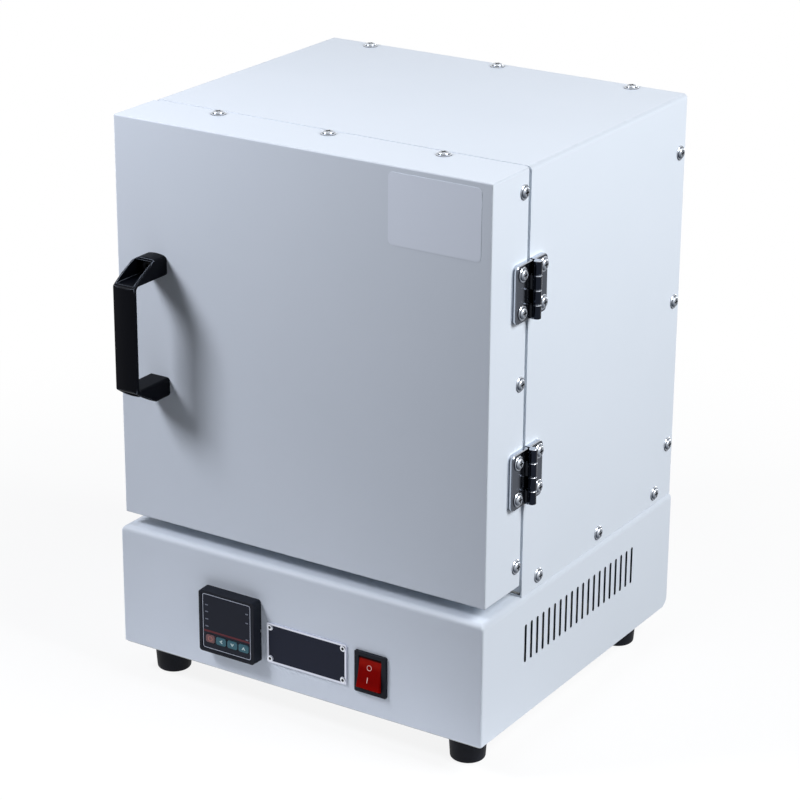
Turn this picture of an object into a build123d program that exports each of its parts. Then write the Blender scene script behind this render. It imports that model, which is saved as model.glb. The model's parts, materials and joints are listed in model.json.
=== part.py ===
"""Bench-top burnout furnace: a fibre-lined chamber in a sheet-steel case on an electrics base.

Millimetres. X runs to the right, Y to the back and Z up. The origin lies on the surface that
the feet stand on, under the middle of the whole object's box.
"""
from build123d import *
from math import atan, degrees, sqrt
import os

os.makedirs("parts", exist_ok=True)

# Sheet metal and case sizes
sheet = 1.2
casing_width = 300.6
body_height = 304.0
body_depth = 218.0
door_depth = 45.0
door_seam = 3.5
door_lift = 9.8
door_corner = 1.0
wrapper_bend = 3.0
fit_gap = 0.2
lining_gap = 0.3
past = 1.0  # how far a cutter runs past the face that it opens
hole_corner = 0.5

# Electrics base
base_height = 91.0
base_side_lap = 1.5
base_front_step = 4.3
base_bend = 4.0
base_corner = 1.5
side_corner = 7.5
return_width = 12.0
back_panel_flange = 14.0
vent_count = 20
vent_pitch = 8.08
vent_first = 57.2
vent_width = 3.0
vent_height = 29.0
vent_low = 40.5

# Feet
foot_height = 23.5
foot_top_radius = 14.0
foot_bottom_radius = 12.3
foot_side_inset = 25.5
foot_front_inset = 25.5
foot_back_inset = 28.8
foot_recess_radius = 6.0
foot_recess_depth = 13.0
foot_edge = 2.0
foot_bolt_radius = 2.5
foot_bolt_head_radius = 4.6
foot_bolt_head_height = 3.4
foot_nut_flats = 8.0
foot_nut_height = 4.0
bolt_tip = 1.0

# Flanged pan-head screws of the case
screw_shank_radius = 1.9
screw_shank_length = 8.0
screw_flange_radius = 5.3
screw_flange_height = 0.8
screw_dome_radius = 3.9
screw_head_height = 2.2
recess_width = 1.1
recess_length = 4.4
recess_depth = 1.3
thread_gap = 0.05
hole_gap = 0.25
pocket_gap = 1.0

# Screw rows, measured from the edges that they follow
door_screw_inset = 5.4
door_top_row_left = 59.5
door_top_row_right = 60.8
door_side_row_top = 15.0
door_side_row_low = 16.6
back_screw_inset = 7.3
back_top_row_left = 39.7
back_top_row_right = 40.5
back_side_row_top = 41.2
back_side_row_low = 41.4
floor_screw_height = 8.4
floor_row_front = 22.2
floor_row_back = 25.4
screws_per_row = 3

# Inner frames and flanges
flange_width = 12.0
mouth_flange_width = 24.0
door_flange_width = 18.0
floor_flange_height = 16.0
mouth_rim = 6.0
frame_lift = 3.5
flange_notch_gap = 1.0

# Chamber lining
chamber_width = 200.0
chamber_height = 190.0
floor_slab_thickness = 55.0
back_slab_thickness = 45.0
rear_space = 20.0

# Heating coils and their grooves
coil_radius = 6.3
groove_radius = 6.6
groove_depth = 7.0
groove_mouth = 8.6
coil_rows = 4
coil_front_inset = 16.0
coil_link_radius = 1.6
coil_link_slot = 4.0
stud_radius = 2.0
stud_reach = 8.0
bush_radius = 4.5
bush_length = 5.0
stud_gap = 0.15

# Honeycomb floor tile
tile_side_gap = 5.0
tile_end_gap = 1.4
tile_thickness = 12.0
tile_hole_radius = 5.0
tile_pitch = 15.0
tile_edge = 9.0

# Thermocouple
probe_radius = 4.0
probe_reach = 30.0
probe_head_radius = 8.0
probe_head_length = 10.0
probe_tip_rounding = 2.4

# Door
plug_side_gap = 6.0
plug_depth = 13.0
plug_chamfer = 3.0
plug_hole_gap = 1.0
seam_rim_gap = 0.3
seam_rim_width = 3.0
seam_rim_inset = 2.2
seam_rim_top_inset = 0.3

# Handle
handle_projection = 38.0
handle_span = 104.5
handle_width = 18.0
handle_from_left = 33.8
handle_above_middle = 1.75
handle_foot_height = 14.8
handle_top_land = 11.0
handle_bow = 1.0
handle_crown = 1.4
handle_front_crown = 0.8
handle_corner = 3.5
handle_leg_round = 2.5
grip_thickness = 5.0
handle_wall = 1.5
handle_screw_wall = 5.0
handle_edge = 0.8
handle_bend = 2.5
handle_screw_radius = 2.5
handle_screw_head_radius = 4.25
handle_screw_head_height = 5.0
handle_front_wall = 2.0
handle_socket_flats = 4.0
handle_socket_depth = 2.5
handle_nut_flats = 8.0
handle_nut_height = 5.0
handle_nut_pocket = 5.6

# Hinges
hinge_inset = 81.5
hinge_height = 40.0
hinge_shim = 1.7
hinge_leaf = 1.8
hinge_axis_out = 6.8
hinge_door_reach = 20.5
hinge_body_reach = 18.0
hinge_from_body = 1.0
hinge_corner = 4.0
knuckle_radius = 2.9
knuckle_count = 4
knuckle_gap = 0.4
knuckle_edge = 0.35
leaf_bevel = 0.5
pin_radius = 1.4
pin_gap = 0.05
leaf_edge_gap = 0.9
knuckle_web = 1.4
knuckle_web_gap = 0.15
hinge_screw_offset = 13.3
hinge_screw_spacing = 26.0

# Door magnets
magnet_gap = 0.4
magnet_width = 8.0
magnet_height = 30.0
magnet_inset = 16.0
magnet_spread = 120.0

# Label film on the door
label_width = 70.0
label_height = 49.0
label_from_right = 8.0
label_from_top = 4.0
label_thickness = 0.2
label_corner = 3.5

# Temperature controller
controller_from_left = 97.2
controller_up = 39.6
bezel_size = 48.0
bezel_front_step = 0.3
bezel_frame = 3.0
bezel_lap = 1.6
bezel_depth = 9.0
bezel_corner = 2.5
window_gap = 0.3
window_thickness = 2.2
window_recess = 0.4
window_corner = 1.0
window_rise = 0.8
notch_height = 2.6
notch_depth = 1.3
case_wall = 1.5
case_front = 6.3
case_depth = 72.0
case_gap = 0.2
case_corner = 0.4
clamp_width = 4.5
clamp_depth = 8.0
board_gap = 0.4
board_front = 4.4
board_thickness = 1.6
display_width = 34.0
display_height = 18.0
display_up = 7.0
display_front = 6.2
board_stem = 6.0
key_pitch = 9.8
key_width = 8.6
first_key_width = 7.6
key_height = 5.8
key_drop = 12.8
key_row_shift = 5.0
key_proud = 0.5
key_gap = 0.25
key_lip = 0.8
key_lip_thickness = 1.0
key_lip_gap = 0.1
key_corner = 1.8

# Rocker switch
switch_from_plate = 6.8
switch_up = 31.65
switch_frame_width = 26.2
switch_frame_height = 31.4
switch_frame_proud = 2.0
switch_frame_corner = 1.5
switch_frame_edge = 0.7
switch_side_lap = 1.3
switch_end_lap = 1.6
switch_body_depth = 18.0
switch_pocket_depth = 13.0
switch_side_wall = 2.5
switch_end_wall = 1.5
rocker_pivot_in = 1.5
rocker_face_out = 5.2
rocker_face_hollow = 0.8
rocker_back = 6.0
rocker_back_half = 4.0
rocker_shoulder = 1.5
rocker_edge = 0.4
rocker_tilt = 12.0
rocker_gap = 0.35
trunnion_radius = 1.5
trunnion_length = 1.2
tab_width = 6.3
tab_thickness = 0.8
tab_length = 8.0
tab_spacing = 10.0

# Nameplate
plate_from_controller = 5.5
plate_up = 33.0
plate_width = 67.0
plate_height = 30.8
plate_thickness = 0.9
plate_border = 1.5
plate_border_height = 0.25
plate_corner = 1.5
rivet_side_inset = 2.8
rivet_end_inset = 3.3
rivet_head_radius = 1.9
rivet_head_height = 0.6
rivet_pad_radius = 2.4
rivet_shank_radius = 1.3
rivet_bore_radius = 1.1
rivet_length = 5.0

# Base electrics
relay_from_left = 170.0
relay_from_back = 61.5
relay_width = 58.0
relay_depth = 45.0
relay_height = 23.0
relay_corner = 2.0
sink_width = 80.0
sink_depth = 70.0
sink_plate = 6.0
sink_fin_height = 22.0
sink_fin_thickness = 2.0
sink_fin_count = 9
block_from_left = 255.0
block_from_back = 75.5
block_width = 54.0
block_depth = 22.0
block_height = 18.0
block_poles = 4
block_wall = 2.0
block_rim = 7.0
block_well_depth = 6.0
wire_slot_width = 44.0
wire_slot_depth = 12.0
wire_slot_from_back = 11.5
wire_radius = 1.5
wire_bend = 4.5

# Cable gland
gland_from_left = 250.0
gland_up = 45.0
gland_bore_radius = 4.5
gland_thread_radius = 8.5
gland_thread_length = 12.0
gland_flats = 22.0
gland_collar = 6.0
gland_dome_radius = 9.5
gland_dome_length = 12.0
gland_dome_edge = 3.0
locknut_height = 5.0

# Small fixings
plate_screw_radius = 1.6
plate_screw_head_radius = 3.6
plate_screw_head_height = 1.8
plate_screw_length = 5.0
plate_screw_inset = 6.5
plate_screw_end_inset = 70.0
rear_screw_end_inset = 24.0
joint_rivet_radius = 2.1
joint_rivet_head = 4.2
joint_rivet_tail = 3.2
joint_rivet_head_height = 1.5
joint_rivet_inset = 40.0

# What stands out of the case on each side puts the origin in the middle of the whole box
reach_left = max(base_side_lap, screw_head_height)
reach_right = hinge_axis_out + knuckle_radius
reach_back = gland_collar + gland_dome_length
total_depth = door_depth + door_seam + body_depth

casing_left = -(casing_width + reach_right - reach_left) / 2
casing_right = casing_left + casing_width
door_front = -(total_depth + reach_back - handle_projection) / 2
door_back = door_front + door_depth
body_front = door_back + door_seam
body_back = body_front + body_depth
base_left = casing_left - base_side_lap
base_right = casing_right + base_side_lap
base_front = door_front - base_front_step
plate_bottom = foot_height
base_bottom = plate_bottom + sheet
base_top = base_bottom + base_height
body_top = base_top + body_height
door_bottom = base_top + door_lift
door_middle = (door_bottom + body_top) / 2

# Sizes that follow from others
magnet_thickness = door_seam - magnet_gap
window_size = bezel_size - 2 * bezel_frame
window_height = window_size + window_rise
case_size = bezel_size - 2 * bezel_lap
board_size = case_size - 2 * (case_wall + board_gap)
switch_body_width = switch_frame_width - 2 * switch_side_lap
switch_body_height = switch_frame_height - 2 * switch_end_lap
rocker_width = switch_body_width - 2 * (switch_side_wall + rocker_gap)
rocker_radius = switch_body_height / 2 - switch_end_wall - rocker_gap

# Places inside the case that several pieces share
inner_left = casing_left + sheet + fit_gap
inner_right = casing_right - sheet - fit_gap
inner_top = body_top - sheet - fit_gap
floor_top = base_top + sheet
lining_left = inner_left + sheet + lining_gap
lining_right = inner_right - sheet - lining_gap
lining_top = inner_top - sheet - lining_gap
lining_front = body_front + sheet + fit_gap
lining_back = body_back - sheet - rear_space
chamber_left = (casing_left + casing_right - chamber_width) / 2
chamber_right = chamber_left + chamber_width
chamber_bottom = floor_top + floor_slab_thickness
chamber_top = chamber_bottom + chamber_height
chamber_back = lining_back - back_slab_thickness
probe_x = (chamber_left + chamber_right) / 2
probe_z = (chamber_bottom + chamber_top) / 2
coil_front = lining_front + coil_front_inset
hinge_y = body_front - hinge_from_body
hinge_x = casing_right + hinge_axis_out
hinge_heights = [door_bottom + hinge_inset, body_top - hinge_inset]
front_face = Plane.XZ
LEFT = (-1, 0, 0)
RIGHT = (1, 0, 0)
FRONT = (0, -1, 0)
BACK = (0, 1, 0)
UP = (0, 0, 1)
DOWN = (0, 0, -1)


def block(x0, x1, y0, y1, z0, z1):
    """A box between two corners."""
    middle = Pos((x0 + x1) / 2, (y0 + y1) / 2, (z0 + z1) / 2)
    return middle * Box(x1 - x0, y1 - y0, z1 - z0)


def rod(start, direction, radius, length):
    """A round bar from a point, along a direction."""
    bar = Cylinder(radius, length, align=(Align.CENTER, Align.CENTER, Align.MIN))
    return Plane(origin=start, z_dir=direction) * bar


def panel_plate(x, y, z, width, height, thickness, corner):
    """A round-cornered plate whose front face is at y and which reaches back from it."""
    outline = front_face * RectangleRounded(width, height, corner)
    return Pos(x, y, z) * extrude(outline, amount=-thickness)


def spread(first, last, count):
    """Evenly spaced places from first to last."""
    step = (last - first) / (count - 1)
    return [first + step * i for i in range(count)]


def save(name, *pieces):
    """Write one node's solids to its own file."""
    solids = [solid for piece in pieces for solid in piece.solids()]
    export_step(Compound(children=solids), f"parts/{name}.step")


def case_screw(start, direction):
    """A flanged pan-head screw with a cross recess, its flange seated at start."""
    dome_height = screw_head_height - screw_flange_height
    screw = rod((0, 0, 0), UP, screw_flange_radius, screw_flange_height)
    screw = chamfer(screw.edges().group_by(Axis.Z)[-1], screw_flange_height / 2)
    dome = rod((0, 0, screw_flange_height), UP, screw_dome_radius, dome_height)
    screw += fillet(dome.edges().group_by(Axis.Z)[-1], dome_height - 0.1)
    screw += rod((0, 0, 0), DOWN, screw_shank_radius, screw_shank_length)
    recess_middle = Pos(0, 0, screw_head_height - recess_depth / 2)
    screw -= recess_middle * Box(recess_length, recess_width, recess_depth)
    screw -= recess_middle * Box(recess_width, recess_length, recess_depth)
    return Plane(origin=start, z_dir=direction) * screw


def screw_holes(places, direction, radius):
    """Round cutters for a row of case screws, run through the sheets behind their heads."""
    reach = screw_shank_length + past
    holes = []
    for place in places:
        start = Vector(*place) - Vector(*direction) * reach
        holes.append(rod(start, direction, radius, reach + past))
    return holes


shank_hole = screw_shank_radius + hole_gap
thread_hole = screw_shank_radius + thread_gap

# Screw rows: each holds its places and the way that its heads face
door_row_y = door_back - door_screw_inset
door_row_x = spread(casing_left + door_top_row_left, casing_right - door_top_row_right, screws_per_row)
door_row_z = spread(door_bottom + door_side_row_low, body_top - door_side_row_top, screws_per_row)
door_rows = [
    (UP, [(x, door_row_y, body_top) for x in door_row_x]),
    (DOWN, [(x, door_row_y, door_bottom) for x in door_row_x]),
    (LEFT, [(casing_left, door_row_y, z) for z in door_row_z]),
    (RIGHT, [(casing_right, door_row_y, z) for z in door_row_z]),
]
back_row_y = body_back - back_screw_inset
back_row_x = spread(casing_left + back_top_row_left, casing_right - back_top_row_right, screws_per_row)
back_row_z = spread(base_top + back_side_row_low, body_top - back_side_row_top, screws_per_row)
back_rows = [
    (UP, [(x, back_row_y, body_top) for x in back_row_x]),
    (LEFT, [(casing_left, back_row_y, z) for z in back_row_z]),
    (RIGHT, [(casing_right, back_row_y, z) for z in back_row_z]),
]
floor_row_y = spread(body_front + floor_row_front, body_back - floor_row_back, screws_per_row)
floor_row_z = base_top + floor_screw_height
floor_rows = [
    (LEFT, [(casing_left, y, floor_row_z) for y in floor_row_y]),
    (RIGHT, [(casing_right, y, floor_row_z) for y in floor_row_y]),
]


def cut_rows(piece, rows, radius):
    for direction, places in rows:
        for hole in screw_holes(places, direction, radius):
            piece -= hole
    return piece


def row_screws(rows):
    return [case_screw(place, direction) for direction, places in rows for place in places]


# Places shared by the pieces of the base and the door
foot_x = [base_left + foot_side_inset, base_right - foot_side_inset]
foot_y = [base_front + foot_front_inset, body_back - foot_back_inset]
foot_places = [(x, y) for x in foot_x for y in foot_y]
plate_screw_x = [base_left + sheet + plate_screw_inset, base_right - sheet - plate_screw_inset]
plate_screw_y = [base_front + plate_screw_end_inset, body_back - plate_screw_end_inset]
plate_screw_places = [(x, y) for x in plate_screw_x for y in plate_screw_y]
rear_screw_z = [base_bottom + rear_screw_end_inset, base_top - rear_screw_end_inset]
rear_screw_places = [(x, z) for x in plate_screw_x for z in rear_screw_z]
joint_x = [casing_left + joint_rivet_inset, casing_right - joint_rivet_inset]
joint_y = [body_front + joint_rivet_inset, body_back - joint_rivet_inset]
joint_places = [(x, y) for x in joint_x for y in joint_y]
handle_x = casing_left + handle_from_left
handle_z = door_middle + handle_above_middle
controller_x = casing_left + controller_from_left
controller_z = base_bottom + controller_up
key_row_z = controller_z - key_drop
window_z = controller_z + window_rise / 2
nameplate_x = controller_x + bezel_size / 2 + plate_from_controller + plate_width / 2
nameplate_z = base_bottom + plate_up
switch_x = nameplate_x + plate_width / 2 + switch_from_plate + switch_frame_width / 2
switch_z = base_bottom + switch_up
rocker_y = base_front + rocker_pivot_in
rivet_places = [
    (
        nameplate_x + side * (plate_width / 2 - rivet_side_inset),
        nameplate_z + end * (plate_height / 2 - rivet_end_inset),
    )
    for side in (-1, 1)
    for end in (-1, 1)
]
gland_x = casing_left + gland_from_left
gland_z = base_bottom + gland_up
relay_x = casing_left + relay_from_left
relay_y = body_back - relay_from_back
sink_top = base_bottom + sink_fin_height + sink_plate
relay_top = sink_top + relay_height
block_x = casing_left + block_from_left
block_y = body_back - block_from_back
block_front = block_y - block_depth / 2
block_top = base_bottom + block_height
wire_slot_x = (casing_left + casing_right) / 2
wire_slot_y = body_back - wire_slot_from_back
wire_slot = block(
    wire_slot_x - wire_slot_width / 2,
    wire_slot_x + wire_slot_width / 2,
    wire_slot_y - wire_slot_depth / 2,
    wire_slot_y + wire_slot_depth / 2,
    base_top - sheet - past,
    floor_top + past,
)


def base_shell():
    """Top, front and sides folded from one sheet, with returns for the bottom and back panels."""
    outer = block(base_left, base_right, base_front, body_back, base_bottom, base_top)
    outer = fillet(outer.edges().filter_by(Axis.Z).group_by(Axis.Y)[0], base_corner)
    top_edges = outer.edges().group_by(Axis.Z)[-1]
    back_edge = top_edges.filter_by(Axis.X).group_by(Axis.Y)[-1]
    outer = fillet(top_edges - back_edge, base_bend)
    rear_low = outer.edges().filter_by(Axis.X).group_by(Axis.Y)[-1].sort_by(Axis.Z)[0]
    outer = fillet(rear_low, side_corner)
    inner = block(
        base_left + sheet,
        base_right - sheet,
        base_front + sheet,
        body_back + sheet,
        base_bottom - sheet,
        base_top - sheet,
    )
    inner = fillet(inner.edges().filter_by(Axis.Z).group_by(Axis.Y)[0], base_corner - sheet)
    top_edges = inner.edges().group_by(Axis.Z)[-1]
    back_edge = top_edges.filter_by(Axis.X).group_by(Axis.Y)[-1]
    inner = fillet(top_edges - back_edge, base_bend - sheet)
    shell = outer - inner

    root = sheet / 2
    low, high = base_bottom, base_bottom + sheet
    y0, y1 = base_front + base_bend, body_back - back_panel_flange - flange_notch_gap
    shell += block(base_left + root, base_left + return_width, y0, y1, low, high)
    shell += block(base_right - return_width, base_right - root, y0, y1, low, high)
    x0, x1 = base_left + base_bend, base_right - base_bend
    shell += block(x0, x1, base_front + root, base_front + return_width, low, high)
    front, back = body_back - 2 * sheet, body_back - sheet
    side_low, side_top = base_bottom + side_corner, base_top - base_bend
    shell += block(base_left + root, base_left + return_width, front, back, side_low, side_top)
    shell += block(base_right - return_width, base_right - root, front, back, side_low, side_top)
    shell += block(x0, x1, front, back, base_top - return_width, base_top - root)

    cut_front, cut_depth = base_front - past, sheet + 2 * past
    hole = case_size + 2 * case_gap
    shell -= panel_plate(controller_x, cut_front, controller_z, hole, hole, cut_depth, hole_corner)
    hole_width, hole_height = switch_body_width + 2 * case_gap, switch_body_height + 2 * case_gap
    shell -= panel_plate(switch_x, cut_front, switch_z, hole_width, hole_height, cut_depth, hole_corner)
    for x, z in rivet_places:
        shell -= rod((x, cut_front, z), BACK, rivet_shank_radius + thread_gap, cut_depth)
    for i in range(vent_count):
        slot = Plane.YZ * SlotOverall(vent_height, vent_width, rotation=90)
        slot_y = base_front + vent_first + i * vent_pitch
        slot_z = base_bottom + vent_low + vent_height / 2
        slot_bar = extrude(slot, amount=base_right - base_left + 2 * past)
        shell -= Pos(base_left - past, slot_y, slot_z) * slot_bar
    shell -= wire_slot
    for x, y in joint_places:
        shell -= rod((x, y, base_top - sheet - past), UP, joint_rivet_radius + thread_gap, cut_depth)
    for x, y in plate_screw_places:
        shell -= rod((x, y, base_bottom - past), UP, plate_screw_radius + thread_gap, cut_depth)
    for x, z in rear_screw_places:
        shell -= rod((x, front - past, z), BACK, plate_screw_radius + thread_gap, cut_depth)
    return shell


def base_bottom_plate():
    """Flat cover under the base that carries the feet and the electrics."""
    plate = block(
        base_left + sheet,
        base_right - sheet,
        base_front + sheet,
        body_back - side_corner,
        plate_bottom,
        base_bottom,
    )
    plate = fillet(plate.edges().filter_by(Axis.Z), base_corner)
    for x, y in foot_places:
        plate -= rod((x, y, plate_bottom - past), UP, foot_bolt_radius + hole_gap, sheet + 2 * past)
    for x, y in plate_screw_places:
        plate -= rod((x, y, plate_bottom - past), UP, plate_screw_radius + hole_gap, sheet + 2 * past)
    return plate


def base_back_panel():
    """The panel that closes the base's back, bent forward at its foot, with the gland's hole."""
    x0, x1 = base_left + sheet + fit_gap, base_right - sheet - fit_gap
    front, top = body_back - back_panel_flange, base_top - sheet - fit_gap
    panel = block(x0, x1, front, body_back, base_bottom, top)
    rear_low = panel.edges().filter_by(Axis.X).group_by(Axis.Y)[-1].sort_by(Axis.Z)[0]
    panel = fillet(rear_low, side_corner)
    upper = panel.edges().filter_by(Axis.Y).group_by(Axis.Z)[-1]
    panel = fillet(upper, base_bend - sheet)
    inside_space = block(x0 - past, x1 + past, front - past, body_back - sheet, base_bottom + sheet, base_top)
    rear_low = inside_space.edges().filter_by(Axis.X).group_by(Axis.Y)[-1].sort_by(Axis.Z)[0]
    panel -= fillet(rear_low, side_corner - sheet)
    inside, cut_depth = body_back - sheet - past, sheet + 2 * past
    panel -= rod((gland_x, inside, gland_z), BACK, gland_thread_radius + hole_gap, cut_depth)
    for x, z in rear_screw_places:
        panel -= rod((x, inside, z), BACK, plate_screw_radius + hole_gap, cut_depth)
    return panel


def small_screw(start, direction):
    """A low pan-head screw for the base's cover plates."""
    head = rod((0, 0, 0), UP, plate_screw_head_radius, plate_screw_head_height)
    head = fillet(head.edges().group_by(Axis.Z)[-1], plate_screw_head_height / 2)
    screw = head + rod((0, 0, 0), DOWN, plate_screw_radius, plate_screw_length)
    return Plane(origin=start, z_dir=direction) * screw


def rubber_foot(x, y):
    """A tapered rubber foot with a recess for its bolt."""
    cone = Cone(
        foot_bottom_radius,
        foot_top_radius,
        foot_height,
        align=(Align.CENTER, Align.CENTER, Align.MIN),
    )
    cone = fillet(cone.edges().group_by(Axis.Z)[0], foot_edge)
    cone -= rod((0, 0, 0), UP, foot_recess_radius, foot_recess_depth)
    cone -= rod((0, 0, 0), UP, foot_bolt_radius + hole_gap, foot_height)
    return Pos(x, y, 0) * cone


def foot_bolt(x, y):
    """A pan-head bolt up through a foot into its nut."""
    seat = foot_recess_depth
    head = rod((x, y, seat), DOWN, foot_bolt_head_radius, foot_bolt_head_height)
    tip = base_bottom + foot_nut_height + bolt_tip
    return head + rod((x, y, seat), UP, foot_bolt_radius, tip - seat)


def hex_nut(start, direction, flats, bore, height):
    """A plain hexagon nut."""
    outline = RegularPolygon(flats / 2, 6, major_radius=False)
    nut = extrude(outline, amount=height) - Cylinder(bore, 3 * height)
    return Plane(origin=start, z_dir=direction) * nut


def foot_nut(x, y):
    bore = foot_bolt_radius + thread_gap
    return hex_nut((x, y, base_bottom), UP, foot_nut_flats, bore, foot_nut_height)


def joint_rivet(x, y):
    """A rivet that ties the body's floor to the base's top."""
    rivet = rod((x, y, base_top - sheet), DOWN, joint_rivet_head, joint_rivet_head_height)
    rivet += rod((x, y, base_top - sheet), UP, joint_rivet_radius, 2 * sheet + joint_rivet_head_height)
    return rivet + rod((x, y, floor_top), UP, joint_rivet_tail, joint_rivet_head_height)


def body_wrapper():
    """The body's top and sides, one sheet bent over."""
    outer = block(casing_left, casing_right, body_front, body_back, base_top, body_top)
    outer = fillet(outer.edges().filter_by(Axis.Y).group_by(Axis.Z)[-1], wrapper_bend)
    inner = block(
        casing_left + sheet,
        casing_right - sheet,
        body_front - past,
        body_back + past,
        base_top - past,
        body_top - sheet,
    )
    inner = fillet(inner.edges().filter_by(Axis.Y).group_by(Axis.Z)[-1], wrapper_bend - sheet)
    shell = cut_rows(outer - inner, back_rows + floor_rows, shank_hole)
    for x, y, z in hinge_screw_places(1):
        shell -= rod((x, y, z), LEFT, thread_hole, screw_shank_length)
    return shell


def body_front_frame():
    """The frame round the chamber's mouth, with returns at the top and sides."""
    back = body_front + mouth_flange_width
    frame = block(inner_left, inner_right, body_front, back, base_top + frame_lift, inner_top)
    upper = frame.edges().filter_by(Axis.Y).group_by(Axis.Z)[-1]
    frame = fillet(upper, wrapper_bend - sheet)
    frame -= block(
        inner_left + sheet,
        inner_right - sheet,
        body_front + sheet,
        body_back,
        base_top,
        inner_top - sheet,
    )
    notch_top = base_top + floor_flange_height + flange_notch_gap
    frame -= block(casing_left, casing_right, body_front + flange_width, body_back, base_top, notch_top)
    frame -= block(
        chamber_left - mouth_rim,
        chamber_right + mouth_rim,
        body_front - past,
        body_front + sheet + past,
        chamber_bottom - mouth_rim,
        chamber_top + mouth_rim,
    )
    for x, y, z in hinge_screw_places(1):
        frame -= rod((x, y, z), LEFT, thread_hole, screw_shank_length)
    return frame


def body_back_panel():
    """The body's back, with flanges that the wrapper's rear screws hold."""
    panel = block(inner_left, inner_right, body_back - flange_width, body_back, floor_top, inner_top)
    upper = panel.edges().filter_by(Axis.Y).group_by(Axis.Z)[-1]
    panel = fillet(upper, wrapper_bend - sheet)
    panel -= block(
        inner_left + sheet,
        inner_right - sheet,
        body_front,
        body_back - sheet,
        base_top,
        inner_top - sheet,
    )
    return cut_rows(panel, back_rows, thread_hole)


def body_floor_plate():
    """The body's floor, with side flanges that the wrapper's lower screws hold."""
    plate = block(inner_left, inner_right, body_front, body_back, base_top, base_top + floor_flange_height)
    plate -= block(
        inner_left + sheet,
        inner_right - sheet,
        body_front - past,
        body_back + past,
        floor_top,
        body_top,
    )
    notch = flange_width + flange_notch_gap
    plate -= block(casing_left, casing_right, body_front - past, body_front + notch, floor_top, body_top)
    plate -= block(casing_left, casing_right, body_back - notch, body_back + past, floor_top, body_top)
    plate -= wire_slot
    for x, y in joint_places:
        plate -= rod((x, y, base_top - past), UP, joint_rivet_radius + thread_gap, sheet + 2 * past)
    return cut_rows(plate, floor_rows, thread_hole)


def coil_heights():
    step = chamber_height / coil_rows
    return [chamber_bottom + step * (i + 0.5) for i in range(coil_rows)]


def floor_coil_places():
    step = chamber_width / coil_rows
    return [chamber_left + step * (i + 0.5) for i in range(coil_rows)]


left_coils = [(chamber_left - groove_depth, z) for z in coil_heights()]
right_coils = [(chamber_right + groove_depth, z) for z in coil_heights()]
floor_coils = [(x, chamber_bottom - groove_depth) for x in floor_coil_places()]
stud_places = [coils[end] for coils in (left_coils, right_coils, floor_coils) for end in (0, -1)]


def groove_cutter(centres, opening):
    """Round channels along the chamber, open to it, with slots for the links between them."""
    length = chamber_back - coil_front
    cutter = []
    half_mouth = groove_mouth / 2
    for x, z in centres:
        cutter.append(rod((x, coil_front, z), BACK, groove_radius, length))
        x_open = x + opening[0] * (groove_depth + past)
        z_open = z + opening[1] * (groove_depth + past)
        wide_x = half_mouth if opening[0] == 0 else 0
        wide_z = half_mouth if opening[1] == 0 else 0
        cutter.append(
            block(
                min(x, x_open) - wide_x,
                max(x, x_open) + wide_x,
                coil_front,
                chamber_back,
                min(z, z_open) - wide_z,
                max(z, z_open) + wide_z,
            )
        )
    half_slot = coil_link_slot / 2
    for i in range(len(centres) - 1):
        (xa, za), (xb, zb) = centres[i], centres[i + 1]
        y = link_y(i)
        x_values = [xa, xb, xa + opening[0] * (groove_depth + past)]
        z_values = [za, zb, za + opening[1] * (groove_depth + past)]
        cutter.append(
            block(
                min(x_values) - half_slot * (xa == xb),
                max(x_values) + half_slot * (xa == xb),
                y - half_slot,
                y + half_slot,
                min(z_values) - half_slot * (za == zb),
                max(z_values),
            )
        )
    return cutter


def link_y(i):
    """Links lie by turns at the coils' front and back ends."""
    inset = coil_link_slot / 2 + lining_gap
    return coil_front + inset if i % 2 == 0 else chamber_back - inset


def coil_run(centres):
    """One element: straight coils joined by links into a single winding path."""
    length = chamber_back - coil_front
    run = None
    for x, z in centres:
        coil = rod((x, coil_front + lining_gap, z), BACK, coil_radius, length - 2 * lining_gap)
        run = coil if run is None else run + coil
    for i in range(len(centres) - 1):
        (xa, za), (xb, zb) = centres[i], centres[i + 1]
        start = Vector(xa, link_y(i), za)
        way = Vector(xb - xa, 0, zb - za)
        run += rod(start, tuple(way.normalized()), coil_link_radius, way.length)
    return run


def lining_slab(x0, x1, y1, z0, z1):
    return block(x0, x1, lining_front, y1, z0, z1)


def chamber_wall(side):
    if side < 0:
        slab = lining_slab(lining_left, chamber_left, chamber_back, chamber_bottom, chamber_top)
        cutters = groove_cutter(left_coils, (1, 0))
    else:
        slab = lining_slab(chamber_right, lining_right, chamber_back, chamber_bottom, chamber_top)
        cutters = groove_cutter(right_coils, (-1, 0))
    for cutter in cutters:
        slab -= cutter
    for start in hinge_screw_places(1):
        slab -= rod(start, LEFT, shank_hole + pocket_gap, screw_shank_length + pocket_gap)
    return slab


def chamber_floor():
    slab = lining_slab(lining_left, lining_right, chamber_back, floor_top, chamber_bottom)
    for cutter in groove_cutter(floor_coils, (0, 1)):
        slab -= cutter
    for x, y in joint_places:
        slab -= rod((x, y, floor_top), UP, joint_rivet_head, joint_rivet_head_height + sheet)
    for pocket in floor_screw_tips():
        slab -= pocket
    return slab


def floor_screw_tips():
    """Pockets in the floor slab for the tips of the screws through the floor's flanges."""
    pockets = []
    for direction, places in floor_rows:
        for hole in screw_holes(places, direction, shank_hole + pocket_gap):
            pockets.append(hole)
    return pockets


def chamber_roof():
    return lining_slab(lining_left, lining_right, chamber_back, chamber_top, lining_top)


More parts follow.
